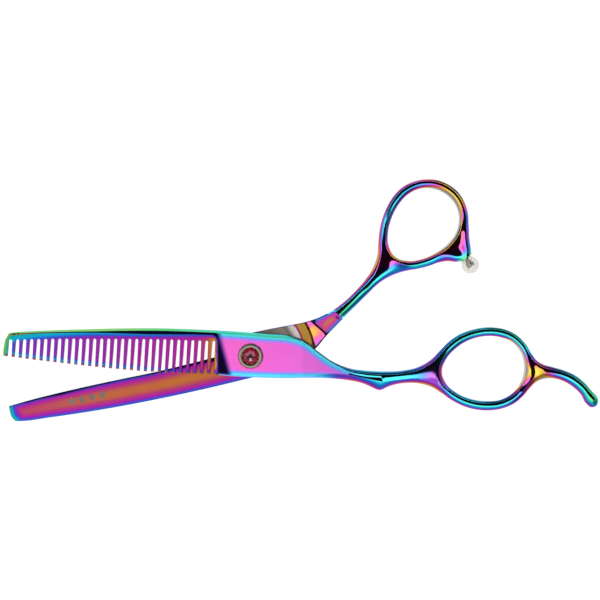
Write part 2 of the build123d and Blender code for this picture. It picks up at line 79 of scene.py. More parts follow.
A_HOLE = [(67.25, 5.58), (63.21, 4.50), (59.60, 2.32), (56.70, -0.80),
          (55.35, -4.61), (56.75, -8.33), (60.12, -11.05), (64.01, -12.58),
          (68.16, -13.13), (72.33, -12.70), (75.95, -10.61), (78.32, -7.25),
          (79.06, -3.17), (78.12, 0.90), (75.42, 3.97), (71.45, 5.48)]
B_EDGE = [(-70.02, -14.60), (-62.90, -12.58), (-56.28, -10.92), (-49.62, -9.38),
          (-42.95, -7.91), (-36.26, -6.50), (-29.56, -5.14), (-19.50, -2.75), (-9.50, -0.20)]
B_TIP = [(-70.02, -14.60), (-69.98, -15.40), (-69.70, -16.70), (-69.12, -17.98), (-68.10, -18.98)]
B_BACK = [(-68.10, -18.98), (-66.85, -18.96), (-57.25, -17.76), (-47.69, -16.35), (-38.16, -14.74),
          (-28.65, -12.92), (-19.20, -10.95), (-9.77, -8.81), (-0.38, -6.53),
          (6.20, -4.95), (12.20, -2.80), (16.00, -0.40), (18.99, 2.31)]
B_TOPHEEL = [(-9.50, -0.20), (-7.60, 2.30), (-5.20, 4.55), (-2.00, 6.00), (3.38, 7.30)]
B_NECK_TOP = [(7.64, 8.15), (11.90, 8.93), (16.15, 9.85), (20.20, 11.28),
              (23.96, 13.38), (27.39, 16.01), (30.50, 19.02)]
B_NECK_BOT = [(18.99, 2.31), (21.75, 5.60), (24.72, 8.75), (27.69, 11.83), (30.80, 14.87)]
B_HANDLE_1 = [(33.27, 22.30),
              (35.33, 25.50), (36.52, 28.96), (36.85, 32.68), (37.25, 36.39),
              (38.13, 40.00), (39.57, 43.46), (41.54, 46.58), (44.25, 49.10),
              (47.00, 50.40), (49.90, 51.05), (53.10, 51.00), (56.29, 50.02),
              (59.40, 47.98), (61.60, 44.97), (62.80, 41.42), (63.08, 37.66),
              (63.27, 33.97), (63.60, 31.62), (63.95, 29.52),
              (64.38, 28.55), (64.75, 27.10), (64.00, 25.75), (62.42, 25.35),
              (61.10, 26.10), (60.34, 27.10), (59.15, 27.12), (57.00, 27.33), (54.49, 26.98), (51.58, 25.98),
              (48.55, 25.19), (45.45, 24.65), (42.43, 23.82), (39.56, 22.56),
              (36.95, 20.85), (33.86, 17.92)]
B_HOLE = [(49.05, 48.34), (45.40, 46.58), (42.67, 43.55), (40.80, 39.93),
          (39.77, 35.98), (39.90, 31.90), (41.92, 28.60), (45.79, 27.47),
          (49.82, 28.10), (53.53, 29.76), (56.78, 32.23), (59.22, 35.44),
          (60.20, 39.39), (59.33, 43.33), (56.67, 46.46), (53.12, 48.22)]


# ---------------------------------------------------------------------------
# Small helpers
# ---------------------------------------------------------------------------
def unit(x, y):
    m = math.hypot(x, y)
    return (x / m, y / m)


def step(x, a, b):
    t = np.clip((np.asarray(x, float) - a) / (b - a), 0, 1)
    return t * t * (3 - 2 * t)


def mix(a, b, t):
    return a + (b - a) * t


def smin(a, b, k):
    h = np.clip(0.5 + 0.5 * (b - a) / k, 0, 1)
    return b * (1 - h) + a * h - k * h * (1 - h)


def tangents(pts, closed):
    n = len(pts)
    out = []
    for i in range(n):
        if closed or 0 < i < n - 1:
            a, b, c = pts[i - 1], pts[i], pts[(i + 1) % n]
        elif i == 0:
            a, b, c = pts[0], pts[1], pts[2]
        else:
            a, b, c = pts[n - 3], pts[n - 2], pts[n - 1]
        h1, h2 = math.dist(a, b), math.dist(b, c)
        d1 = ((b[0] - a[0]) / h1, (b[1] - a[1]) / h1)
        d2 = ((c[0] - b[0]) / h2, (c[1] - b[1]) / h2)
        t = ((d1[0] * h2 + d2[0] * h1) / (h1 + h2), (d1[1] * h2 + d2[1] * h1) / (h1 + h2))
        if not closed and i == 0:
            t = (2 * d1[0] - t[0], 2 * d1[1] - t[1])
        elif not closed and i == n - 1:
            t = (2 * d2[0] - t[0], 2 * d2[1] - t[1])
        out.append(unit(*t))
    return out


def dense(pts, closed=False, gap=0.30):
    """Points and right-hand normals along tangent arcs through pts."""
    ts = tangents(pts, closed)
    n = len(pts)
    P, N = [], []
    for i in range(n if closed else n - 1):
        p, q, t0, t1 = pts[i], pts[(i + 1) % n], ts[i], ts[(i + 1) % n]
        v = (q[0] - p[0], q[1] - p[1])
        vt = v[0] * (t0[0] + t1[0]) + v[1] * (t0[1] + t1[1])
        vv = v[0] ** 2 + v[1] ** 2
        k = 2 * (1 - t0[0] * t1[0] - t0[1] * t1[1])
        d = vv / (2 * vt) if k < 1e-9 else (-vt + math.sqrt(vt * vt + k * vv)) / k
        j = ((p[0] + q[0] + d * (t0[0] - t1[0])) / 2, (p[1] + q[1] + d * (t0[1] - t1[1])) / 2)
        t = t0
        for st, en in ((p, j), (j, q)):
            c = unit(en[0] - st[0], en[1] - st[1])
            dot = c[0] * t[0] + c[1] * t[1]
            th = math.atan2(c[0] * t[1] - c[1] * t[0], dot)
            L = math.dist(st, en)
            flat = abs(th) < 1e-6
            m = max(1, math.ceil(max((L if flat else L * th / math.sin(th)) / gap, abs(2 * th) / 0.20)))
            phi = math.atan2(t[1], t[0])
            for s in range(m):
                f = s / m
                a = th * f
                r = L * (f if flat else math.sin(a) / math.sin(th))
                P.append((st[0] + r * math.cos(phi - a), st[1] + r * math.sin(phi - a)))
                tx, ty = math.cos(phi - 2 * a), math.sin(phi - 2 * a)
                N.append((ty, -tx))
            t = (2 * dot * c[0] - t[0], 2 * dot * c[1] - t[1])
    if not closed:
        P.append(tuple(pts[-1]))
        N.append((t[1], -t[0]))
    return np.array(P), np.array(N)


class Line:
    """A polyline that can say how far points are from it."""

    def __init__(self, pts, closed=False):
        self.p = np.asarray(pts, float)
        q = np.vstack([self.p, self.p[:1]]) if closed else self.p
        self.a, self.v = q[:-1], q[1:] - q[:-1]
        self.n, self.closed = len(self.a), closed
        self.len = np.hypot(self.v[:, 0], self.v[:, 1])
        self.s = np.concatenate([[0], np.cumsum(self.len)])
        self.kd = kdtree.KDTree(len(self.p))
        for i, (x, y) in enumerate(self.p):
            self.kd.insert((x, y, 0), i)
        self.kd.balance()

    def near(self, xy):
        """Distance, arc length and side (left is +1) of the nearest point."""
        idx = np.array([self.kd.find((x, y, 0))[1] for x, y in xy])
        best = np.full(len(xy), 1e9)
        s = np.zeros(len(xy))
        side = np.zeros(len(xy))
        for off in (-2, -1, 0, 1):
            k = (idx + off) % self.n if self.closed else np.clip(idx + off, 0, self.n - 1)
            a, v, L = self.a[k], self.v[k], self.len[k]
            w = xy - a
            t = np.clip((w * v).sum(1) / np.maximum(L * L, 1e-12), 0, 1)
            d = np.hypot(*(w - v * t[:, None]).T)
            new = d < best - 1e-9
            best[new] = d[new]
            s[new] = (self.s[k] + t * L)[new]
            side[new] = np.sign(v[:, 0] * w[:, 1] - v[:, 1] * w[:, 0])[new]
        return best, s, side


def resample(pts, gap=0.3):
    pts = np.asarray(pts, float)
    L = np.hypot(*(pts[1:] - pts[:-1]).T)
    s = np.concatenate([[0], np.cumsum(L)])
    m = max(2, int(math.ceil(s[-1] / gap)) + 1)
    t = np.linspace(0, s[-1], m)
    return np.stack([np.interp(t, s, pts[:, 0]), np.interp(t, s, pts[:, 1])], 1)


def curve(pts, gap=0.3):
    return dense([tuple(p) for p in pts], gap=gap)[0]


def inside(xy, loops):
    """Even-odd test of points against closed loops."""
    out = np.zeros(len(xy), bool)
    A = np.vstack(loops)
    B = np.vstack([np.roll(q, -1, 0) for q in loops])
    for c in range(0, len(xy), 4000):
        x, y = xy[c:c + 4000, 0][:, None], xy[c:c + 4000, 1][:, None]
        cross = (A[:, 1] > y) != (B[:, 1] > y)
        with np.errstate(divide="ignore", invalid="ignore"):
            at = A[:, 0] + (y - A[:, 1]) * (B[:, 0] - A[:, 0]) / (B[:, 1] - A[:, 1])
        out[c:c + 4000] = (cross & (x < at)).sum(1) % 2 == 1
    return out


class Points:
    """Points with a least spacing, kept in a hash grid."""

    def __init__(self, cell=0.5):
        self.p, self.cell, self.h = [], cell, {}

    def add(self, x, y, r):
        c = self.cell
        i, j = math.floor(x / c), math.floor(y / c)
        if r > 0:
            rr = r * r
            for a in (i - 1, i, i + 1):
                for b in (j - 1, j, j + 1):
                    for q in self.h.get((a, b), ()):
                        u, v = self.p[q]
                        if (u - x) ** 2 + (v - y) ** 2 < rr:
                            return q
        self.h.setdefault((i, j), []).append(len(self.p))
        self.p.append((x, y))
        return len(self.p) - 1


def plan(loops, kinds, lines, layers, grid):
    """Triangles of a flat plan: loops [(points, inward normals)], inner lines kept as edges,
    rows of points at the layers' distances from the loops, and a grid of points inside."""
    pts = Points()
    edges = []
    for P, N in loops:
        ids = [pts.add(x, y, 0) for x, y in P]
        edges += list(zip(ids, ids[1:] + ids[:1]))
    for q in lines:
        ids = [pts.add(x, y, 1e-4) for x, y in q]
        edges += [(a, b) for a, b in zip(ids, ids[1:]) if a != b]
    whole = Line(np.vstack([p for p, _ in loops]))
    # the joins between loops in that line are not edges, so the distance is to the nearest point
    marks = np.vstack([p for p, _ in loops])
    nor = np.vstack([n for _, n in loops])
    kind = np.concatenate(kinds)
    kd = whole.kd

    def away(xy):
        best = np.array([kd.find((x, y, 0))[1:] for x, y in xy])
        i = best[:, 0].astype(int)
        w = xy - marks[i]
        t = np.stack([-nor[i, 1], nor[i, 0]], 1)
        along = (w * t).sum(1)
        return np.where(np.abs(along) < 0.2, np.abs((w * nor[i]).sum(1)), best[:, 1])

    for k, ds in layers.items():
        last = 0.0
        sel = kind == k
        for d in ds if sel.any() else ():
            q = marks[sel] + nor[sel] * d
            ok = away(q) > d - 0.02 - 0.02 * d
            r = 0.45 * (d - last)
            for x, y in q[ok]:
                pts.add(x, y, r)
            last = d
    lo, hi = marks.min(0), marks.max(0)
    for gx0, gx1, h in grid:
        xs = np.arange(max(gx0, lo[0]), min(gx1, hi[0]), h)
        ys = np.arange(lo[1], hi[1], h * 0.866)
        X, Y = np.meshgrid(xs, ys)
        X = X + (np.arange(len(ys)) % 2)[:, None] * h / 2
        q = np.stack([X.ravel(), Y.ravel()], 1)
        q = q[inside(q, [p for p, _ in loops])]
        if len(q):
            q = q[away(q) > 0.3 * h]
        for x, y in q:
            pts.add(x, y, 0.62 * h)
    got = delaunay_2d_cdt([Vector(p) for p in pts.p], edges, [], 0, 1e-7, False)
    xy = np.array([tuple(v) for v in got[0]])
    tri = np.array([f for f in got[2] if len(f) == 3])
    mid = xy[tri].mean(1)
    tri = tri[inside(mid, [p for p, _ in loops])]
    a, b, c = xy[tri[:, 0]], xy[tri[:, 1]], xy[tri[:, 2]]
    area = (b[:, 0] - a[:, 0]) * (c[:, 1] - a[:, 1]) - (b[:, 1] - a[:, 1]) * (c[:, 0] - a[:, 0])
    tri[area < 0] = tri[area < 0][:, ::-1]
    tri = tri[np.abs(area) > 1e-9]
    used = np.unique(tri)
    remap = -np.ones(len(xy), int)
    remap[used] = np.arange(len(used))
    return xy[used], remap[tri]


def border(tri):
    """Directed edges of the triangles that no other triangle has."""
    e = np.vstack([tri[:, [0, 1]], tri[:, [1, 2]], tri[:, [2, 0]]])
    key = e[:, 0].astype(np.int64) * (1 << 32) + e[:, 1]
    back = e[:, 1].astype(np.int64) * (1 << 32) + e[:, 0]
    return e[~np.isin(key, back)]


def inflate(xy, tri):
    """sqrt(2u) of the solution of -laplace(u) = 1 with u = 0 on the border."""
    n = len(xy)
    fixed = np.zeros(n, bool)
    fixed[border(tri).ravel()] = True
    p = xy[tri]
    rows, cols, vals = [], [], []
    area2 = ((p[:, 1, 0] - p[:, 0, 0]) * (p[:, 2, 1] - p[:, 0, 1])
             - (p[:, 1, 1] - p[:, 0, 1]) * (p[:, 2, 0] - p[:, 0, 0]))
    for a, b, c in ((0, 1, 2), (1, 2, 0), (2, 0, 1)):
        u, v = p[:, b] - p[:, a], p[:, c] - p[:, a]
        w = 0.5 * (u * v).sum(1) / area2
        rows.append(tri[:, b])
        cols.append(tri[:, c])
        vals.append(w)
    i, j, w = np.concatenate(rows), np.concatenate(cols), np.concatenate(vals)
    lo, hi = np.minimum(i, j).astype(np.int64), np.maximum(i, j).astype(np.int64)
    key, inv = np.unique(lo * n + hi, return_inverse=True)
    w = np.bincount(inv, w)
    i, j = (key // n).astype(int), (key % n).astype(int)
    w = np.maximum(w, 1e-6)
    diag = np.bincount(i, w, n) + np.bincount(j, w, n)
    load = np.bincount(tri.ravel(), np.repeat(area2 / 6, 3), n)
    free = ~fixed

    def mul(x):
        y = diag * x - np.bincount(i, w * x[j], n) - np.bincount(j, w * x[i], n)
        y[fixed] = 0
        return y

    x = np.zeros(n)
    r = np.where(free, load, 0)
    z = r / diag
    d = z.copy()
    rz = r @ z
    first = rz
    for _ in range(3000):
        q = mul(d)
        al = rz / (d @ q)
        x += al * d
        r -= al * q
        z = r / diag
        new = r @ z
        if new < 1e-12 * first:
            break
        d = z + new / rz * d
        rz = new
    return np.sqrt(np.maximum(2 * x, 0))


class Slopes:
    """Slopes of smooth fields at the corners of a plan, fitted inside each labelled patch."""

    def __init__(self, xy, tri, label):
        self.n = len(xy)
        key = tri.astype(np.int64) * 64 + label[:, None]
        self.key, inv = np.unique(key.ravel(), return_inverse=True)
        self.at = inv.reshape(tri.shape)           # node of each corner
        self.v = (self.key // 64).astype(int)      # vertex of each node
        t = self.at
        e = np.vstack([t[:, [0, 1]], t[:, [1, 2]], t[:, [2, 0]]])
        e = np.unique(np.vstack([e, e[:, ::-1]]), axis=0)
        m = len(self.v)
        start = np.searchsorted(e[:, 0], np.arange(m + 1))
        cnt = (start[1:] - start[:-1])[e[:, 1]]
        i = np.repeat(e[:, 0], cnt)
        off = np.arange(cnt.sum()) - np.repeat(np.cumsum(cnt) - cnt, cnt)
        j = e[np.repeat(start[e[:, 1]], cnt) + off, 1]
        p = np.unique(np.vstack([e, np.column_stack([i, j]), np.repeat(np.arange(m), 2).reshape(-1, 2)]), axis=0)
        self.i, self.j = p.T
        d = xy[self.v[self.j]] - xy[self.v[self.i]]
        r2 = (d ** 2).sum(1)
        size = np.bincount(self.i, r2, m) / np.bincount(self.i, minlength=m) + 1e-9
        h = np.sqrt(size)[self.i]
        w = 1 / (0.15 + r2 / size[self.i])
        x, y = (d / h[:, None]).T
        f = np.stack([np.ones_like(x), x, y, x * x, x * y, y * y])
        M = np.zeros((m, 6, 6))
        for a in range(6):
            for b in range(a, 6):
                M[:, a, b] = M[:, b, a] = np.bincount(self.i, w * f[a] * f[b], m)
        M += np.eye(6) * 1e-5 * M[:, 0, 0][:, None, None]
        for a in (3, 4, 5):
            M[:, a, a] += 0.02 * M[:, 0, 0]
        self.inv = np.linalg.inv(M)
        self.wf, self.h, self.m = w * f, np.sqrt(size), m

    def __call__(self, field):
        z = field[self.v]
        dz = z[self.j] - z[self.i]
        b = np.stack([np.bincount(self.i, self.wf[a] * dz, self.m) for a in range(6)], 1)
        c = np.einsum("nij,nj->ni", self.inv, b)
        return c[:, 1:3] / self.h[:, None]


def swell_slope(s, gain=1.06, top=2.45):
    return gain * (1 + (gain * s / top) ** 4) ** -1.25


def shell(xy, tri, top, bottom, caps=()):
    """Vertices and faces of a closed body between two height fields."""
    n = len(xy)
    v = np.vstack([np.column_stack([xy, top]), np.column_stack([xy, bottom])])
    e = border(tri)
    walls = np.column_stack([e[:, 1], e[:, 0], e[:, 0] + n, e[:, 1] + n])
    return v, tri, tri[:, ::-1] + n, walls


def mesh_of(name, verts, faces):
    me = bpy.data.meshes.new(name)
    me.from_pydata((np.asarray(verts) * MM).tolist(), [], [list(map(int, f)) for f in faces])
    me.update()
    return me


def corner_data(me):
    n = len(me.loops)
    nor = np.zeros(n * 3, np.float32)
    me.corner_normals.foreach_get("vector", nor)
    vi = np.zeros(n, np.int32)
    me.loops.foreach_get("vertex_index", vi)
    co = np.zeros(len(me.vertices) * 3, np.float32)
    me.vertices.foreach_get("co", co)
    return nor.reshape(-1, 3).astype(float), vi, co.reshape(-1, 3).astype(float) / MM


def piece(name, verts, faces, body, material, replaces=(), sharp=None, normals=None, fields=None):
    """A mesh object that rides on a body, with smooth faces and corner values."""
    me = mesh_of(name, verts, faces)
    me.shade_smooth()
    if sharp is not None:
        me.set_sharp_from_angle(angle=math.radians(sharp))
    if normals is not None:
        me.normals_split_custom_set([tuple(x) for x in normals])
    for key, values in (fields or {}).items():
        at = me.attributes.new(key, "FLOAT", "CORNER")
        at.data.foreach_set("value", np.ascontiguousarray(values, np.float32))
    ob = bpy.data.objects.new(name, me)
    bpy.context.scene.collection.objects.link(ob)
    me.materials.append(material)
    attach(ob, body)
    if replaces:
        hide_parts(*replaces)
    return ob


# ---------------------------------------------------------------------------
# Plan of the finger half: comb blade, shank, finger ring and tang
# ---------------------------------------------------------------------------
NONE, COMB, PLATE, HANDLE = 0, 1, 2, 3
LAYERS = {COMB: (0.07, 0.17),
          PLATE: (0.10, 0.30, 0.66, 0.95, 1.30, 1.75),
          HANDLE: (0.03, 0.12, 0.27, 0.48, 0.70, 0.98, 1.30, 1.70, 2.15)}


def comb_border():
    """The toothed edge from the step wall to the tip, with a notch in each tooth's end."""
    edge = curve(A_TEETH)
    ye = lambda x: float(np.interp(x, edge[:, 0], edge[:, 1]))
    lean = math.tan(math.radians(SLOT_LEAN))
    tops = (4.74, 4.97, 4.94, 4.80, 4.28)
    out = [((STEP_X, ye(STEP_X)), NONE, (0, 1))]

    def run(a, b, nor, gap=0.45):
        m = max(1, int(math.ceil(math.dist(a, b) / gap)))
        for s in range(1, m + 1):
            f = s / m
            out.append(((mix(a[0], b[0], f), mix(a[1], b[1], f)), NONE if s == m else COMB, nor))

    for i in range(SLOT_COUNT - 1, -1, -1):
        f = i / (SLOT_COUNT - 1)
        xc = SLOT_X0 + SLOT_PITCH * i
        j = min(3, int(f * 4))
        y_top = mix(tops[j], tops[j + 1], f * 4 - j)
        y_bot = -1.4 - 5.6 * f ** 0.85
        w_bot = 0.615
        w_top = 0.615 - 0.0058 * (y_top - y_bot - 1.2) * 3.46
        yr = y_top - w_top
        xt, xb = xc + (yr - 1.68) * lean, xc + (y_bot - 1.68) * lean
        ends = []
        for sg in (1, -1):
            y = ye(xc)
            for _ in range(4):
                g = (y - y_bot) / (yr - y_bot)
                x = mix(xb + sg * w_bot, xt + sg * w_top, g)
                y = ye(x)
            ends.append((x, y))
        # the tooth's end between the last point and this slot's right wall
        a, b = out[-1][0], ends[0]
        wide = a[0] - b[0]
        if 0.6 < wide < 1.2:
            m = (a[0] + b[0]) / 2
            run(a, (m + 0.17, ye(m + 0.17) - 0.02), (0, 1))
            run(out[-1][0], (m, ye(m) + 0.20), (0, 1))
            run(out[-1][0], (m - 0.17, ye(m - 0.17) - 0.02), (0, 1))
            run(out[-1][0], b, (0, 1))
        else:
            run(a, b, (0, 1))
        d = unit(xt + w_top - ends[0][0], yr - ends[0][1])
        run(ends[0], (xt + w_top, yr), (d[1], -d[0]))
        for s in range(1, 10):
            an = math.pi * s / 9
            out.append(((xt + w_top * math.cos(an), yr + w_top * math.sin(an)), COMB,
                        (math.cos(an), math.sin(an))))
        d = unit(ends[1][0] - xt + w_top, ends[1][1] - yr)
        run((xt - w_top, yr), ends[1], (d[1], -d[0]))
    run(out[-1][0], (-71.50, 0.06), (0, 1))
    return out


def ring_loop(r, n=40):
    a = np.arange(n) * TAU / n
    P = np.column_stack([r * np.cos(a), r * np.sin(a)])
    return P, P / r


def plan_a():
    P, N = dense(A_SPINE + A_SHOULDER[1:] + A_HANDLE + A_HEEL[::-1])
    K = np.where(P[:, 0] > 11.0, HANDLE, PLATE)
    comb = comb_border()
    T, TN = dense(A_TIP[::-1])
    KT = np.full(len(T), PLATE)
    Pc = np.array([c[0] for c in comb[1:-1]])
    Kc = np.array([c[1] for c in comb[1:-1]])
    Nc = np.array([c[2] for c in comb[1:-1]])
    K[0] = K[-1] = NONE
    KT[0] = NONE
    loop = (np.vstack([P, Pc, T[:-1]]), np.vstack([N, Nc, TN[:-1]]))
    kind = np.concatenate([K, Kc, KT[:-1]])
    H, HN = dense(A_HOLE, closed=True)
    R, RN = ring_loop(2.62)
    upper = P[:np.argmax(P[:, 0] > 60.0)]
    low0 = len(P) - 1 - np.argmax(P[::-1, 0] > 56.0)
    lower = P[low0:][::-1]
    return dict(loops=[loop, (H, HN), (R, RN)],
                kinds=[kind, np.full(len(H), HANDLE), np.full(len(R), NONE)],
                upper=upper, lower=lower, tip=T, hole=H, out=P)


def offset_line(line, nor, xs, ds, x0, x1):
    """A line moved inward by a distance that varies with x, between x0 and x1."""
    d = np.interp(line[:, 0], xs, ds)
    q = line + nor * d[:, None]
    return q[(line[:, 0] >= x0) & (line[:, 0] <= x1)]


A = plan_a()
# floor of the comb: step wall, rounded corner, foot of the rib
F_RIB = [(-11.52, 6.00), (-16.0, 6.13), (-22.5, 6.17), (-29.4, 6.22), (-36.5, 6.42), (-43.6, 6.62),
         (-50.0, 6.66), (-55.0, 6.60), (-60.0, 6.50), (-65.0, 6.25), (-69.4, 5.86)]
corner = [(-11.52 + 1.95 * math.cos(a), 4.05 + 1.95 * math.sin(a)) for a in np.linspace(0, math.pi / 2, 13)]
F_POINTS = np.vstack([resample([(STEP_X, -5.40), (STEP_X, 4.05)], 0.35), corner[1:-1], curve(F_RIB, 0.35)])
F_IN = F_POINTS
tan = np.gradient(F_POINTS, axis=0)
tan /= np.hypot(tan[:, 0], tan[:, 1])[:, None]
F_NOR = np.column_stack([tan[:, 1], -tan[:, 0]])        # away from the floor
F_OUT = F_POINTS + F_NOR * 0.04
F_KEEP = F_POINTS[:, 0] > -12.5
# top edge of the slanted facet beside the step wall
XB = lambda y: -8.90 + (6.01 - y) * 0.2727
FACET = resample([(XB(-5.5), -5.5), (XB(6.3), 6.3)], 0.35)
# crisp crease along the lower side of the shank, and the strip above it
PX = 0.289
at = lambda pts: [((x - 250.8) * PX, -(y - 355.8) * PX) for x, y in pts]
CREASE = curve(at([(290, 377.0), (302, 376.4), (315, 375.4), (326, 374.0), (337, 373.3), (348, 374.3),
                   (360, 376.9), (371, 379.2), (382.3, 381.5)]), 0.3)
CREASE2 = curve(at([(382.3, 381.5), (395.7, 379.9), (410, 378.3), (424, 377.3), (432, 376.7), (438, 377.6)]), 0.3)
UP_P, UP_N = dense(A_SPINE + A_SHOULDER[1:] + A_HANDLE[:12])
# width of the bevel or round side below the upper silhouette
EDGE_X = [-80, -60, -45, 11.5, 15.5, 20, 24, 26.6, 28.05, 29.5, 30.8, 33.6, 37.9]
EDGE_D = [0.34, 0.45, 0.66, 0.66, 0.28, 0.30, 0.42, 0.66, 0.88, 1.04, 1.14, 1.30, 1.36]
EDGE = offset_line(UP_P, UP_N, EDGE_X, EDGE_D, -67.0, 37.95)
# the bright strip under that edge, then the hollow down to the crease
STRIP = lambda x: np.interp(x, [27, 28, 30.8, 33.6, 37.9], [0.22, 0.26, 0.38, 0.36, 0.34])
FINE = np.linspace(-80, 60, 1401)
BAND_D = np.interp(FINE, EDGE_X, EDGE_D) + STRIP(FINE)
EDGE2 = offset_line(UP_P, UP_N, FINE, BAND_D, 28.2, 37.95)
EDGE2B = offset_line(UP_P, UP_N, FINE, BAND_D + 0.05, 28.4, 37.8)
EDGE3_X, EDGE3_D = [38.0, 42.0, 47.4, 51.0], [1.80, 1.50, 1.50, 1.90]
EDGE3 = offset_line(UP_P, UP_N, EDGE3_X, EDGE3_D, 38.0, 50.0)
WALL_LINE = resample([(STEP_X + 0.20, -5.1), (STEP_X + 0.20, 4.9)], 0.35)
CREST = resample([(37.95, -7.20), (37.55, -8.9)], 0.3)
LENS_1 = resample([(37.93, -6.42), (37.93, -7.12)], 0.2)
LENS_2 = resample([(37.98, -6.42), (37.98, -7.12)], 0.2)
SEAM_A = resample([(WELD_A_X, -3.95), (WELD_A_X, -7.35)], 0.3)
SEAT_1 = ring_loop(SEAT_R)[0]
SEAT_2 = ring_loop(SEAT_R - 0.03)[0]

xyA, triA = plan(A["loops"], A["kinds"],
                 [F_IN[2:-1], F_OUT[F_KEEP][2:], WALL_LINE, FACET[1:-1], CREASE, CREASE2, EDGE, EDGE2, EDGE2B, EDGE3, CREST,
                  LENS_1, LENS_2, SEAM_A, np.vstack([SEAT_1, SEAT_1[:1]]), np.vstack([SEAT_2, SEAT_2[:1]])],
                 LAYERS, [(-75, 10, 0.42), (10, 110, 0.30)])
SA = inflate(xyA, triA)
dU, sU, _ = Line(A["upper"]).near(xyA)
run_u = np.concatenate([[0], np.cumsum(np.hypot(*np.diff(A["upper"], axis=0).T))])
xU = np.interp(sU, run_u, A["upper"][:, 0])
dL = Line(A["lower"]).near(xyA)[0]
dF, sF, sideF = Line(F_IN).near(xyA)
dC, _, sideC = Line(np.vstack([CREASE, CREASE2[1:]])).near(xyA)
dT = Line(A["tip"]).near(xyA)[0]
dHA = Line(A["hole"], closed=True).near(xyA)[0]
xa, ya = xyA.T
eU = np.interp(xU, EDGE_X + EDGE3_X, EDGE_D + EDGE3_D)
tU = dU / eU
tU = np.where(np.abs(tU - 1) < 0.03, 1.0, tU)


def swell(s, gain=1.06, top=2.45):
    """Height of a forged bar over its mid plane: round where narrow, fuller but flatter where wide."""
    h = gain * s
    return h / (1 + (h / top) ** 4) ** 0.25


def hammered(xy, spots):
    """Extra slope where the forging was dressed by hand: (places, reach, slope along X, slope along Y)."""
    g = np.zeros((len(xy), 2))
    for places, reach, gx, gy in spots:
        if len(places) > 1:
            d = Line(resample(at(places), 0.2)).near(xy)[0]
        else:
            (cx, cy), = at(places)
            d = np.hypot(xy[:, 0] - cx, xy[:, 1] - cy)
        g += np.exp(-(d / reach) ** 2)[:, None] * np.array([gx, gy])
    return g


SPOTS_A = [([(530.0, 359.5), (531.6, 365), (532.6, 371), (532.3, 376), (529.6, 381.3), (525.4, 386.2), (521.5, 390)],
            0.42, -0.30, -0.22),
           ([(535.0, 363.0), (537.0, 367.5), (540.5, 370.0)], 1.0, 0.03, 0.22)]
SPOTS_B = [([(374.9, 276.1)], 2.2, 0.16, -0.24), ([(367.5, 284.5)], 2.2, 0.12, -0.18), ([(382.0, 267.0)], 2.0, 0.10, -0.22),
           ([(386.1, 258.0)], 1.6, 0.05, -0.10), ([(396.5, 262.0)], 1.9, 0.05, 0.30), ([(403.0, 264.0)], 1.6, 0.0, 0.18),
           ([(463.2, 233.0), (463.2, 240.0), (463.0, 246.0), (464.0, 251.5)], 0.85, 0.12, 0.22),
           ([(460.2, 248.4)], 1.0, 0.05, 0.16),
           ([(452.4, 249.6)], 2.0, 0.0, -0.15), ([(456.5, 253.9)], 1.5, 0.0, -0.22), ([(446.0, 253.0)], 1.4, 0.0, -0.10)]


PARTS_A = {}


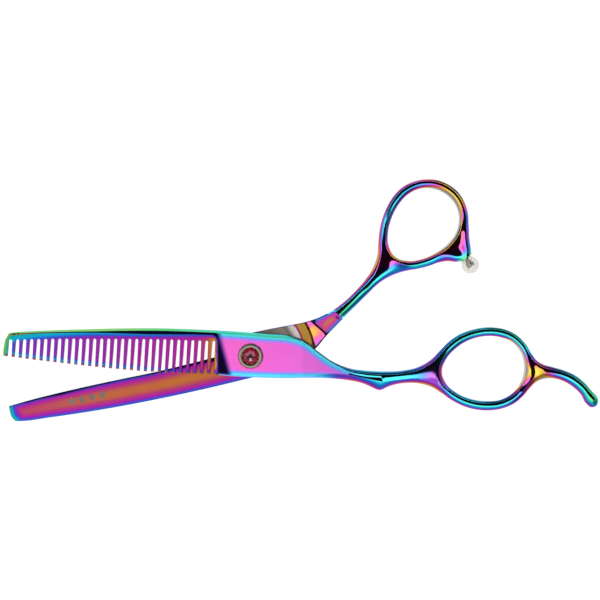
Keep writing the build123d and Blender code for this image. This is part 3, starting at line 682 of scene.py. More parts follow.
def height_a():
    x, y = xa, ya
    flat = np.interp(x, [15, 29], [Z_A1, 6.2])
    crest = np.interp(x, [-71.5, -60.2, STEP_X], [5.28, 5.47, Z_A1])
    flat = np.where(x < STEP_X, crest, flat)
    # upper edge: bevel on the blade, thin at the shoulder, growing into the shank's round side
    t = np.clip(tU, 0, 1)
    down = np.interp(x, [-80, -60, -45, 11.5, 15.5, 21, 24, 27, 30, 33, 60],
                     [0.36, 0.50, 0.78, 0.78, 0.15, 0.20, 0.60, 1.40, 2.05, 2.16, 2.16])
    c = 0.86
    rnd = np.sqrt(np.maximum(0, 1 - (1 - c * t) ** 2)) / math.sqrt(1 - (1 - c) ** 2)
    drop_u = down * (1 - mix(t, rnd, step(x, 14, 27)))
    drop_u += np.interp(x, [-20, -9], [0.05, 0.015]) * np.clip(1 - (dU - eU) / 1.3, 0, 1) ** 2 * step(-x, -28, -22)
    # lower edge: small bevel on the heel, growing into the shank's lower side
    q = np.where((sideC > 0) & (x > 11.3), 1.0, dL / (dL + dC + 1e-9))
    q = np.where(x < 11.3, np.clip(dL / 0.28, 0, 1), q)
    zL = mix(flat - 0.34, 4.04, step(x, 9, 30))
    c = 0.80
    rnd = np.sqrt(np.maximum(0, 1 - (1 - c * q) ** 2)) / math.sqrt(1 - (1 - c) ** 2)
    drop_l = (flat - zL) * (1 - mix(q, rnd, step(x, 12, 24)))
    drop_l += 0.05 * np.clip(1 - (dL - 0.28) / 0.8, 0, 1) ** 2 * step(-x, -12, -6)
    # hollow-ground lens between the narrow strip and the crease
    dE2 = np.maximum(dU - eU - STRIP(xU), 0)
    lens = (x > 28.3) & (x < 37.955) & (dU > eU + STRIP(xU) + 0.025) & (sideC > 0)
    drop_n = np.where(lens, np.interp(x, [28.3, 31, 37.9], [0, .16, .26]) * (1 - dE2 / (dE2 + dC + 1e-9)), 0)
    z = flat - drop_u - drop_l - drop_n
    # ring and tang
    PARTS_A.update(flat=flat, down=down, t=t, round_u=np.clip(1 - (1 - 0.86 * t) ** 2, 0, 1), low=flat - zL, q=q,
                   round_l=np.clip(1 - (1 - 0.80 * q) ** 2, 0, 1), rest=-drop_n)
    z = mix(z, 4.04 + swell(SA), step(x, 43.5, 51))
    # slanted facet beside the step wall
    w = np.clip(XB(y) - x, 0, 4.2)
    z = z - (0.17 * w + 0.013 * w * w) * step(y, 6.9, 5.4) * (x > STEP_X - 1)
    # comb: floor, step wall, rib
    floor = 5.57 - 0.45 * (STEP_X - x) / 61.93
    rib = np.interp(x, [-69.4, -55, -43.6, -29.4, -11.5], [0.9, 0.95, 1.1, 1.25, 1.35])
    k = np.where(sF > 12.6, rib, np.interp(sF, [0, 9.3, 12.6], [28, 28, 1.35]))
    onfloor = (((sideF > 0) | (dF < 1e-6)) & (x < STEP_X + 1e-6)) | (x < -69.4)
    z = np.where(onfloor, floor, np.where(x < -5, np.minimum(z, floor + k * dF), z))
    # the tip and the teeth's ends are eased
    z = np.where(x < STEP_X, z - 0.12 * np.clip(1 - dT / 0.45, 0, 1), z)
    teeth = curve(A_TEETH)
    hT = y - np.interp(x, teeth[:, 0], teeth[:, 1])
    z = np.where(onfloor & (x > -71), z - 0.24 * np.clip(1 - hT / 0.42, 0, 1), z)
    # seat of the pivot head
    z = np.where(np.hypot(x, y) < SEAT_R - 0.02, Z_SEAT, z)
    return z, onfloor, hT


zA, FLOOR, hT = height_a()
near_ = Line(A["loops"][0][0], closed=True)
LEFT_OF_TOOTH = np.array([near_.kd.find((x, y, 0))[1] for x, y in xyA])
LEFT_OF_TOOTH = A["loops"][0][1][LEFT_OF_TOOTH][:, 0] > 0.6
bevel = near_.near(xyA)[0]
LEFT_OF_TOOTH = LEFT_OF_TOOTH * np.clip(1.6 - bevel / 0.11, 0, 1)
slot_edge = FLOOR & (hT < 5.9) & (xyA[:, 0] > -70.9)
zA = np.where(slot_edge, zA - 0.06 * np.clip(1 - bevel / 0.09, 0, 1), zA)


def label_a():
    """Patches of the finger half's upper face that meet at crisp lines; 0 is left to the mesh."""
    c = xyA[triA].mean(1)
    x, y = c.T
    lab = np.where(x > 12, 1, 0)
    below = (sideC[triA].min(1) < 0) & (dC[triA].max(1) > 1e-6) & (x < 54)
    below = (Line(np.vstack([CREASE, CREASE2[1:]])).near(c)[2] < 0) & (x > 12) & (x < 54)
    lab = np.where(below, np.where(x < 37.95 - 0.2 * (-7.2 - y), 2, 3), lab)
    up = (tU[triA].max(1) < 1.005) & (x < 50)
    d = (dU - eU - STRIP(xU))[triA]
    strip = (x > 28.2) & (x < 37.95) & (d.max(1) < 0.02) & ~up
    lens = (x > 28.3) & (x < 37.955) & ~below & ~up & (d.min(1) > 0.025)
    brink = (x > 28.2) & (x < 38.0) & ~below & ~up & ~strip & ~lens
    lab = np.where((lab > 0) & up, 4, lab)
    lab = np.where((lab > 0) & strip, 5, lab)
    lab = np.where((lab > 0) & lens, 6, lab)
    lab = np.where((lab > 0) & brink & (x < 37.99), 0, lab)
    return np.where(x > 12, lab, 0)


def normals_a():
    """Normals at the corners of the upper and lower faces where the patches are smooth."""
    lab = label_a()
    G = Slopes(xyA, triA, lab)
    P, v = PARTS_A, G.v
    col = lambda q: q[v][:, None]
    gu = G(SA ** 2 / 2)
    s = np.maximum(SA[v], 0.04)[:, None]
    swelled = swell_slope(SA[v])[:, None] * gu / s
    m_u, m_l = step(xyA[v, 0], 14, 27)[:, None], step(xyA[v, 0], 12, 24)[:, None]

    def side(t, rounded, c, m):
        root = np.sqrt(np.maximum(rounded, 2e-3))
        norm = math.sqrt(1 - (1 - c) ** 2)
        r = root / norm
        value = mix(col(t), col(r), m)
        slope = mix(G(t), G(rounded) / (2 * col(root)) / norm, m)
        return value, slope

    vu, gu_ = side(P["t"], P["round_u"], 0.86, m_u)
    vl, gl_ = side(P["q"], P["round_l"], 0.80, m_l)
    g1 = (G(P["flat"]) - G(P["down"]) * (1 - vu) + col(P["down"]) * gu_
          - G(P["low"]) * (1 - vl) + col(P["low"]) * gl_ + G(P["rest"]))
    z1 = col(P["flat"]) - col(P["down"]) * (1 - vu) - col(P["low"]) * (1 - vl) + col(P["rest"])
    t = step(xyA[:, 0], 43.5, 51)
    g = mix(g1, swelled, col(t)) + G(t) * (4.04 + swell(SA[v])[:, None] - z1)
    g = g + hammered(xyA[v], SPOTS_A) * np.clip(SA[v] / 1.0, 0, 1)[:, None]
    g[G.key % 64 == 6] = (0.02, -0.27)          # the hollow-ground lens is flat
    top = np.column_stack([-g, np.ones(len(g))])
    low = np.column_stack([-swelled, -np.ones(len(g))])
    unit_ = lambda q: q / np.linalg.norm(q, axis=1)[:, None]
    x = xyA[triA].mean(1)[:, 0]
    return unit_(top)[G.at], lab > 0, unit_(low)[G.at], (lab > 0) & (x > 30)


botA = np.maximum(np.interp(xa, [21.2, 28.5], [Z_A0, 1.8]), 3.96 - swell(SA))
botA = np.where(xa < 21.2, Z_A0, botA)
zA = np.maximum(zA, botA + 0.03)


# ---------------------------------------------------------------------------
# Plan of the thumb half: plain blade, stepped neck, shank, thumb ring, boss
# ---------------------------------------------------------------------------
def plan_b():
    E, EN = dense(B_EDGE)
    P, N = dense(B_TOPHEEL + B_NECK_TOP + B_HANDLE_1 + B_NECK_BOT[::-1] + B_BACK[::-1][1:])
    T, TN = dense(B_TIP[::-1])
    EN[0] = EN[-1]
    kE = np.full(len(E), PLATE)
    kP = np.where((np.hypot(P[:, 0], P[:, 1]) > 21) & (P[:, 0] > 0), HANDLE, PLATE)
    kT = np.full(len(T), PLATE)
    kE[0] = kP[0] = kP[-1] = kT[0] = NONE
    loop = (np.vstack([E[:-1], P[:-1], T[:-1]]), np.vstack([EN[:-1], N[:-1], TN[:-1]]))
    kind = np.concatenate([kE[:-1], kP[:-1], kT[:-1]])
    H, HN = dense(B_HOLE, closed=True)
    R, RN = ring_loop(3.0)
    i0 = len(P) - 1 - np.argmax(P[::-1, 0] > 19.2)
    return dict(loops=[loop, (H, HN), (R, RN)],
                kinds=[kind, np.full(len(H), HANDLE), np.full(len(R), NONE)],
                edge=E, back=P[i0:], tip=T, hole=H, out=P, outer=loop[0])


B = plan_b()
ARC = lambda r, a0, a1: np.array([(r * math.cos(math.radians(a)), r * math.sin(math.radians(a)))
                                  for a in np.arange(a0, a1, 1.0)])
NECK_LINE = resample([(17.05, 10.05), (21.25, 6.38)], 0.3)
nl = np.array([21.25 - 17.05, 6.38 - 10.05])
nl /= np.hypot(*nl)
NL_N = np.array([-nl[1], nl[0]])           # away from the pivot
MILL = 0.60
LIP = curve([(22.15, 12.12), (22.6, 12.0), (23.3, 12.65), (24.04, 12.80), (25.14, 12.25), (25.98, 11.41), (26.45, 10.9)], 0.25)
LIP2 = LIP[2:-2] + np.array([0.30, 0.33])
SEAM_B = resample([(WELD_B_D * math.cos(math.radians(43)) - 1.9 * math.sin(math.radians(43)) * s,
                    WELD_B_D * math.sin(math.radians(43)) + 1.9 * math.cos(math.radians(43)) * s)
                   for s in (-0.75, 0.95)], 0.3)
BOSS = resample([BOSS_P1, BOSS_P2], 0.3)
xyB, triB = plan(B["loops"], B["kinds"],
                 [ARC(15.30, 12, 34), ARC(15.34, 12, 34), ARC(18.08, 13, 33), ARC(18.14, 13, 33), ARC(18.78, 13, 31.2),
                  NECK_LINE, NECK_LINE + NL_N * MILL, LIP, LIP2, SEAM_B, BOSS[1:-1]],
                 LAYERS, [(-75, 14, 0.42), (14, 110, 0.30)])
boss_n = np.array([BOSS_P1[1] - BOSS_P2[1], -(BOSS_P1[0] - BOSS_P2[0])])
boss_n /= np.hypot(*boss_n)
SB = inflate(xyB, triB)
cB = xyB[triB].mean(1)
beyond = ((cB - np.array(BOSS_P2)) @ boss_n > 0) & (np.hypot(cB[:, 0] - 62.9, cB[:, 1] - 27.4) < 4.5)
triB = triB[~beyond]
xb, yb = xyB.T
rB = np.hypot(xb, yb)
sB = xb * math.cos(math.radians(43)) + yb * math.sin(math.radians(43))
dEdge = Line(B["edge"]).near(xyB)[0]
dOut = Line(B["outer"], closed=True).near(xyB)[0]
dBack = Line(B["back"]).near(xyB)[0]
dTipB = Line(B["tip"]).near(xyB)[0]
dHB = Line(B["hole"], closed=True).near(xyB)[0]
dBoss = Line(BOSS).near(xyB)[0]


def lip_side(xy):
    """True on the handle's side of the neck's arc edge, and the distance to it."""
    d, _, side = Line(LIP).near(xy)
    s = xy[:, 0] * math.cos(math.radians(43)) + xy[:, 1] * math.sin(math.radians(43))
    on = (side > 0) | (d < 1e-6)
    return np.where(s > 27.5, True, np.where(s < 23.5, False, on)) & (xy[:, 0] > 10), d


past_lip, dLip = lip_side(xyB)
past = (xyB - NECK_LINE[0]) @ NL_N


def height_b():
    z = np.full(len(xb), Z_B1)
    neck = xb > 8
    z = np.where(neck & (rB > 15.32), Z_B1 - 0.10, z)
    z = np.where(neck & (rB > 18.11), Z_B1 - 0.42, z)
    z = np.where(neck & (rB > 18.76) & (past <= 1e-6), Z_B1 - 0.36 + 0.10 * np.maximum(rB - 18.78, 0), z)
    z = np.where(neck & (past > MILL - 0.02) & (rB > 17), Z_B1 - 0.12 + 0.30 * np.maximum(past - MILL, 0), z)
    # cutting edge, back and tip
    z = z - np.where(xb < -8.5, 0.17 * np.clip(1 - dEdge / 0.28, 0, 1) + 0.04 * np.clip(1 - dEdge / 1.3, 0, 1) ** 2, 0)
    rest = np.minimum(dBack, dTipB)
    z = z - np.where(rB > 17, 0, 0.20 * np.clip(1 - rest / 0.26, 0, 1) + 0.05 * np.clip(1 - rest / 1.4, 0, 1) ** 2)
    z = z - np.where((rB > 15) & (xb > 0), 0.24 * np.clip(1 - dOut / 0.30, 0, 1), 0)
    # shank and ring
    h = 4.04 + swell(SB)
    lip = np.minimum(z, 5.55)
    return np.where(past_lip, mix(np.minimum(h, 5.9), h, step(dLip, 0.0, 1.2)), np.minimum(lip, h + 1.6))


zB = height_b()


def normals_b():
    lab = (lip_side(xyB[triB].mean(1))[0] & (dLip[triB].min(1) > 1.2)).astype(int)
    lab = np.where((xyB[triB].mean(1) @ np.array([math.cos(math.radians(43)), math.sin(math.radians(43))])) > 28, 1, lab)
    G = Slopes(xyB, triB, lab)
    v = G.v
    swelled = swell_slope(SB[v])[:, None] * G(SB ** 2 / 2) / np.maximum(SB[v], 0.04)[:, None]
    g = swelled + hammered(xyB[v], SPOTS_B) * np.clip(SB[v] / 1.2, 0, 1)[:, None]
    top = np.column_stack([-g, np.ones(len(g))])
    low = np.column_stack([-swelled, -np.ones(len(g))])
    unit_ = lambda q: q / np.linalg.norm(q, axis=1)[:, None]
    # the cut through the boss keeps its own flat normals
    near = np.hypot(xyB[triB].mean(1)[:, 0] - 62.1, xyB[triB].mean(1)[:, 1] - 28.3) > 0
    return unit_(top)[G.at], (lab > 0) & near, unit_(low)[G.at], (lab > 0) & near


taper = np.interp(xb, [-75, -10], [Z_B1 - 1.15, Z_B0])
under = np.where(xb < 2, np.maximum(taper, 3.55 - 0.288 * dEdge), taper)
botB = mix(under, 3.96 - swell(SB), np.where(xb > 8, step(sB, 22.5, 28.0), 0))
zB = np.maximum(zB, botB + 0.03)


# ---------------------------------------------------------------------------
# Interference-film colours: "film" is the oxide thickness, thin to thick
# ---------------------------------------------------------------------------
def srgb(r, g, b):
    return tuple((c / 255 / 12.92 if c <= 10.3 else ((c / 255 + 0.055) / 1.055) ** 2.4) for c in (r, g, b)) + (1.0,)


# The two ramps below are lit and shaded copies of the same film colours: each corner's mix between them paints
# highlight and shade.
LIT_FILM = [(0.00, (190, 186, 180)), (0.06, (205, 198, 180)), (0.13, (255, 222, 80)), (0.22, (255, 180, 90)),
          (0.31, (255, 120, 170)), (0.39, (255, 110, 222)), (0.46, (205, 130, 255)), (0.54, (130, 165, 255)),
          (0.61, (90, 200, 255)), (0.69, (95, 245, 255)), (0.77, (80, 235, 215)), (0.86, (105, 225, 150)),
          (0.94, (190, 225, 95))]
SHADED_FILM = [(0.00, (150, 142, 130)), (0.06, (160, 140, 100)), (0.13, (205, 150, 25)), (0.22, (190, 104, 58)),
        (0.30, (180, 62, 105)), (0.38, (175, 38, 155)), (0.46, (130, 45, 178)), (0.54, (62, 72, 200)),
        (0.61, (28, 120, 205)), (0.69, (20, 170, 205)), (0.77, (10, 165, 165)), (0.86, (70, 180, 95)),
        (0.94, (150, 180, 50))]


def ramp(nodes, stops):
    node = nodes.new("ShaderNodeValToRGB")
    cr = node.color_ramp
    cr.interpolation = "LINEAR"
    while len(cr.elements) > 1:
        cr.elements.remove(cr.elements[-1])
    cr.elements[0].position, cr.elements[0].color = stops[0][0], srgb(*stops[0][1])
    for p, c in stops[1:]:
        cr.elements.new(p).color = srgb(*c)
    return node


def tree(name):
    m = bpy.data.materials.new(name)
    m.use_nodes = True
    t = m.node_tree
    t.nodes.clear()
    out = t.nodes.new("ShaderNodeOutputMaterial")
    bsdf = t.nodes.new("ShaderNodeBsdfPrincipled")
    t.links.new(bsdf.outputs[0], out.inputs[0])
    return m, t, bsdf


def math_node(t, op, a, b=None, c=None, clamp=False):
    n = t.nodes.new("ShaderNodeMath")
    n.operation = op
    n.use_clamp = clamp
    for k, v in enumerate((a, b, c)):
        if v is None:
            continue
        if isinstance(v, (int, float)):
            n.inputs[k].default_value = v
        else:
            t.links.new(v, n.inputs[k])
    return n.outputs[0]


def attr(t, name):
    n = t.nodes.new("ShaderNodeAttribute")
    n.attribute_name = name
    return n.outputs["Fac"]


def noise(t, scale, detail=3.0, rough=0.5, stretch=None, rot=0.0):
    co = t.nodes.new("ShaderNodeTexCoord")
    mp = t.nodes.new("ShaderNodeMapping")
    mp.inputs["Scale"].default_value = stretch or (1, 1, 1)
    mp.inputs["Rotation"].default_value = (0, 0, rot)
    n = t.nodes.new("ShaderNodeTexNoise")
    n.inputs["Scale"].default_value = scale
    n.inputs["Detail"].default_value = detail
    n.inputs["Roughness"].default_value = rough
    t.links.new(co.outputs["Object"], mp.inputs[0])
    t.links.new(mp.outputs[0], n.inputs["Vector"])
    return n.outputs["Fac"]


def film_material(name, grind_angle):
    m, t, b = tree(name)
    L = t.links
    film = attr(t, "film")
    cloud = noise(t, 140, 2.0)
    film = math_node(t, "ADD", film, math_node(t, "MULTIPLY", math_node(t, "SUBTRACT", cloud, 0.5), 0.030))
    r1, r2 = ramp(t.nodes, LIT_FILM), ramp(t.nodes, SHADED_FILM)
    L.new(film, r1.inputs[0])
    L.new(film, r2.inputs[0])
    # painted highlight and shade: each corner's value mixes from the lit to the shaded copy of the film colours, then
    # the shade value scales the colour
    mx = t.nodes.new("ShaderNodeMix")
    mx.data_type = "RGBA"
    L.new(attr(t, "lit_to_shaded"), mx.inputs[0])
    L.new(r1.outputs[0], mx.inputs[6])
    L.new(r2.outputs[0], mx.inputs[7])
    # faint grinding lines across the flats
    lines = noise(t, 1.0, 3.0, 0.6, stretch=(9000, 260, 260), rot=grind_angle)
    ground = attr(t, "ground")
    dim = math_node(t, "SUBTRACT", 1.0, math_node(t, "MULTIPLY", ground,
                    math_node(t, "MULTIPLY", math_node(t, "SUBTRACT", lines, 0.42, clamp=True), 0.55)))
    dim = math_node(t, "MULTIPLY", dim, attr(t, "shade"))
    sc = t.nodes.new("ShaderNodeVectorMath")
    sc.operation = "SCALE"
    L.new(mx.outputs[2], sc.inputs[0])
    L.new(dim, sc.inputs["Scale"])
    L.new(sc.outputs[0], b.inputs["Base Color"])
    b.inputs["Metallic"].default_value = 1.0
    wear = noise(t, 420, 3.0)
    rgh = math_node(t, "ADD", attr(t, "rough"), math_node(t, "MULTIPLY", math_node(t, "SUBTRACT", wear, 0.5), 0.05))
    L.new(rgh, b.inputs["Roughness"])
    bump = t.nodes.new("ShaderNodeBump")
    bump.inputs["Strength"].default_value = 0.10
    bump.inputs["Distance"].default_value = 0.00001
    L.new(math_node(t, "MULTIPLY", lines, ground), bump.inputs["Height"])
    L.new(bump.outputs[0], b.inputs["Normal"])
    return m


def spread(xy, table, soft=1.6):
    """Smooth surface through values given at points of the plan."""
    pts = np.array(at([(x, y) for x, y, _ in table]))
    val = np.array([v for _, _, v in table])
    n = len(pts)
    k = np.ones((n + 1, n + 1))
    k[:n, :n] = np.sqrt(((pts[:, None] - pts[None]) ** 2).sum(2) + soft ** 2)
    k[n, n] = 0
    w = np.linalg.solve(k, np.append(val, 0))
    r = np.sqrt(((xy[:, None] - pts[None]) ** 2).sum(2) + soft ** 2)
    return np.clip(r @ w[:n] + w[n], val.min(), val.max())


# film thickness along the ridges of the handles, and beside them where it differs
FILM_A = [(330, 370, .69), (345, 374, .69), (360, 378, .70), (380, 378, .71), (400, 376, .70), (415, 374, .66), (424, 373, .55),
          (432, 375, .45), (436, 366, .52), (441, 358, .68), (450, 347, .74), (462, 338, .76), (475, 333, .76),
          (490, 331, .76), (505, 335, .76), (516, 343, .76), (524, 352, .68), (530, 361, .50), (534, 366, .28),
          (524, 344, .80), (531, 356, .62), (519, 350, .66), (524, 360, .40), (528, 372, .16),
          (536, 371, .13), (541, 372, .16), (548, 373, .38), (556, 375, .58), (566, 379, .68), (575, 385, .74),
          (584, 392, .80), (591, 399, .88), (595, 404, .84), (593, 405, .78), (548, 366, .50), (560, 369, .66),
          (530, 379, .36), (525, 388, .50), (516, 396, .62), (502, 404, .70), (485, 409, .75), (468, 408, .75),
          (454, 402, .72), (445, 394, .64), (438, 386, .52), (384, 390, .74), (372, 384, .68), (396, 385, .68),
          (352, 382, .64), (415, 385, .60), (428, 388, .52)]
FILM_B = [(341, 317, .92), (343, 313, .88), (347, 308, .84), (350, 302, .80), (354, 305, .84), (358, 293, .76),
          (362, 296, .80), (368, 282, .72), (373, 285, .76), (376, 272, .60), (380, 265, .44), (383, 273, .66),
          (384, 258, .42), (389, 264, .36), (384, 245, .58), (387, 230, .66), (391, 215, .68), (398, 203, .68),
          (408, 193, .64), (420, 187, .58), (432, 184, .48), (442, 186, .30), (451, 192, .14), (457, 200, .14),
          (461, 210, .26), (466, 212, .62), (463, 224, .40), (468, 225, .72), (464, 238, .40), (468, 240, .66),
          (462, 248, .40), (470, 249, .78), (464, 254, .60), (468.5, 255, .86), (463, 258.5, .88), (457.5, 262, .86), (455, 256, .62),
          (447, 252, .40), (452, 247, .36), (440, 259, .68), (430, 262, .74), (415, 265, .76), (400, 268, .70),
          (392, 265, .50), (425, 257, .50), (410, 260, .44), (399, 262, .40), (378, 240, .64), (374, 262, .50),
          (366, 275, .60), (352, 292, .70), (342, 303, .74)]
F1 = [(308, 324, .41), (312, 328, .23), (314.8, 333.5, .19), (317.7, 331.6, .24), (321.5, 335.4, .33),
      (318.7, 339.2, .39), (315.8, 345, .44), (313.9, 321, .42), (311, 321, .43)]
F2 = [(317.7, 323, .44), (324.4, 325.8, .28), (331, 319, .26), (334, 316.3, .34), (324.4, 333.5, .38),
      (334, 325.8, .46), (327.3, 315.3, .47), (320, 320, .46), (330, 326, .36), (321, 327, .36)]


def handle_side_shade(nor, bend):
    """Painted highlight and shade on the handles: the lit copy of the film colours on the ridge, the shaded copy on
    the sides, soonest on the side turned away from the window.
    """
    away = np.clip(-1.3 * nor[:, 1] / np.hypot(np.hypot(nor[:, 0], nor[:, 1]), 1e-3), 0, 1)
    return mix(np.clip(0.10 + 1.2 * bend, 0, 1), np.clip((bend - 0.01) / 0.08, 0, 1), away)


def film_a(nor, v, c, fv):
    """film, the lit-to-shaded mix (painted highlight and shade), shade, rough and ground at the corners of the finger
    half.
    """
    x, y = xyA[v].T
    xc, yc = c.T
    bend = 1 - nor[:, 2] ** 2
    side = np.abs(nor[:, 2]) < 0.25
    du, dl, df, ht, dt = dU[v], dL[v], dF[v], hT[v], dT[v]
    fl = FLOOR[fv].all(1)
    bevelled = (tU[fv].max(1) < 1.01) & (xc < 13)
    blade = np.interp(du, [0, .22, .38, .55, .66, .9, 1.15, 1.45, 1.8, 2.3, 2.8], [.74, .79, .90, .92, .84, .74, .68, .62, .53, .44, .385])
    shoulder = np.interp(du, [0, .3, .9, 1.2, 1.6, 2.1, 2.7], [.74, .67, .65, .60, .52, .44, .38])
    plate = mix(blade, shoulder, step(x, 9, 16))
    plate = np.maximum(plate, np.interp(dl, [0, .2, .5, 0.9, 1.3, 1.7, 2.2], [.62, .62, .66, .63, .55, .46, .38]))
    plate = np.maximum(plate, np.interp(x, [-9, 2, 8, 20], [.380, .388, .398, .410]))
    base = mix(plate, spread(xyA[v], FILM_A), step(x, 25, 35))
    # comb floor
    across = np.interp(x, [-71.5, -70.6, -69.6, -68.2, -66, -62, -56, -48, -35, -17, -14.5, -12.6, -11.3, -10.6],
                       [.88, .80, .62, .50, .475, .462, .45, .435, .41, .385, .35, .30, .18, .14])
    reach = np.interp(x, [-70, -66, -55, -44, -12], [2.6, 2.3, 1.6, 1.2, 0.9])
    rim = np.interp(x, [-70, -62, -52, -44, -30, -12], [.80, .77, .71, .68, .64, .58])
    reach = np.where(sF[v] < 11, .01, reach)
    comb = np.maximum(across, mix(across, rim, np.clip(1 - df / reach, 0, 1) ** 0.8))
    comb = np.where(x < -68, np.maximum(comb, np.interp(dt, [0, .5, 1.0, 1.6, 2.6], [.93, .89, .78, .64, .5])), comb)
    blue = np.interp(x, [-70, -45, -25, -12], [.70, .65, .58, .50])
    comb = np.where((ht < 2.0) & (x > -70.9), np.maximum(comb, mix(blue, comb, np.clip((ht - .75) / 1.1, 0, 1))), comb)
    tipped = fl & (ht < .44) & (x > -70.9)
    comb = np.where(tipped, np.interp(x, [-40, -15], [.26, .04]), comb)
    wall = (xc < STEP_X) & ~fl & ~bevelled
    rib = np.interp(x, [-70, -50, -35, -20, -9], [.90, .93, .92, .88, .85])
    base = np.where(xc < STEP_X, np.where(fl, comb, np.where(bevelled, rib, np.interp(x, [-68, -52], [.15, .55]))), base)
    # painted shade: the slanted facet beside the step wall is darkened and turned purple, as a dark reflection
    s = XB(y) - x
    facet = step(s, -1.0, 1.0) * (xc > STEP_X) * step(du, .66, .95) * step(dl, .15, .45)
    base = mix(base, .50, facet)
    K = 0.50 - 0.26 * np.clip(nor[:, 0], 0, 1) - 0.46 * np.clip(nor[:, 1], 0, 1)
    film = base - np.where(x > 20, K * bend * step(x, 20, 30), 0.06 * bend)
    silver = step(-np.hypot(x - 79.0, y + 1.8), -10.0, -5.5) * step(-dHA[v], -.62, -.30)
    film = mix(film, 0.0, silver)
    # painted highlight and shade: how far each corner is mixed from the lit to the shaded copy of the film colours
    lit_to_shaded = np.where(xc < STEP_X, np.where(bevelled, .45, 1.0), np.maximum(facet, np.where(bevelled, .45, 0.0)))
    hand = handle_side_shade(nor, bend)
    under = (sideC[v] < 0) & (x > 14) & (x < 54)
    hand = np.where(under, np.maximum(hand, .85 * np.clip(dC[v] / .5, 0, 1)), hand)
    lit_to_shaded = np.where((x > 14) & (xc > STEP_X), mix(lit_to_shaded, hand, step(x, 14, 26)), lit_to_shaded)
    lit_to_shaded = lit_to_shaded * (1 - silver)
    # painted shade: the rib's wall darkens to black going right, and the slanted facet is darkened
    shade = np.where(wall, np.interp(x, [-68, -60, -50], [0.55, 0.30, 0.04]), 1.0) * (1 - 0.96 * facet)
    # painted shade: a dark line along the left edge of each tooth on the right part of the comb
    shade = np.where((xc < STEP_X) & fl, 1 - .80 * LEFT_OF_TOOTH[v] * step(x, -58, -35), shade)
    # tooth ends: a red-brown film colour, darkened further as painted shade
    shade = np.where(tipped, .72, shade)
    # painted shade: a dark line along the upper edge of the shoulder
    line = np.clip((.34 - du) / .10, 0, 1) * step(x, 9, 13) * step(-x, -31, -26)
    shade = shade * (1 - .94 * line)
    # painted reflection: a thin dark line along the heel's upper bevel
    shade = shade * (1 - .45 * np.exp(-((du - .72) / .07) ** 2) * ((xc > STEP_X) & (x < 16)))
    foot = (dl < .10) & (xc > STEP_X) & (x < 11)
    base = np.where(foot, .38, base)
    # painted shade: a dark line along the top of the step wall
    step_edge_shade = (xc > STEP_X) & (xc < STEP_X + .20) & (yc < 4.6)
    film, lit_to_shaded, shade = np.where(step_edge_shade, .62, film), np.where(step_edge_shade, 1.0, lit_to_shaded), np.where(step_edge_shade, .22, shade)
    # painted shade: the comb's side walls are darkened
    shade = np.where(side & (xc < STEP_X), 0.35, shade) * (1 + 0.1 * silver)
    # painted shade: the ring's outer side leaning towards +Y is darkened, more strongly from x = 70 on
    lean = np.clip(nor[:, 1] / np.maximum(np.hypot(nor[:, 0], nor[:, 1]), 1e-3), 0, 1) ** 2
    lean = lean * mix(.45, .88, step(x, 66, 70)) * (1 - step(x, 96, 100))
    shade = np.where(x > 44, shade * (1 - lean * step(bend, .14, .34) * (1 - .6 * step(bend, .72, .9))), shade)
    # painted shade: a dark reflection band along the upper side of the shank, with one painted highlight line kept
    # bright inside it
    shank_painted_dark_band = step(du, .28, .42) * (1 - step(du, eU[v] - .16, eU[v] - .05)) * step(x, 25.5, 28.5) * (1 - step(x, 45, 49))
    shank_painted_dark_band = shank_painted_dark_band * (1 - .9 * np.exp(-((du - .66) / .08) ** 2)) * (nor[:, 2] > .1)
    shade = shade * (1 - .9 * shank_painted_dark_band)
    rough = np.where(x < 26, 0.27, mix(0.27, 0.085, step(x, 26, 33)))
    rough = np.where(bevelled, 0.16, rough)
    rough = mix(rough, 0.3, silver)
    ground = np.where((x < 26) & (du > .8), 0.35, 0.0)
    return dict(film=np.clip(film, 0.0, 1.0), lit_to_shaded=np.clip(lit_to_shaded, 0, 1), shade=shade, rough=rough, ground=ground)


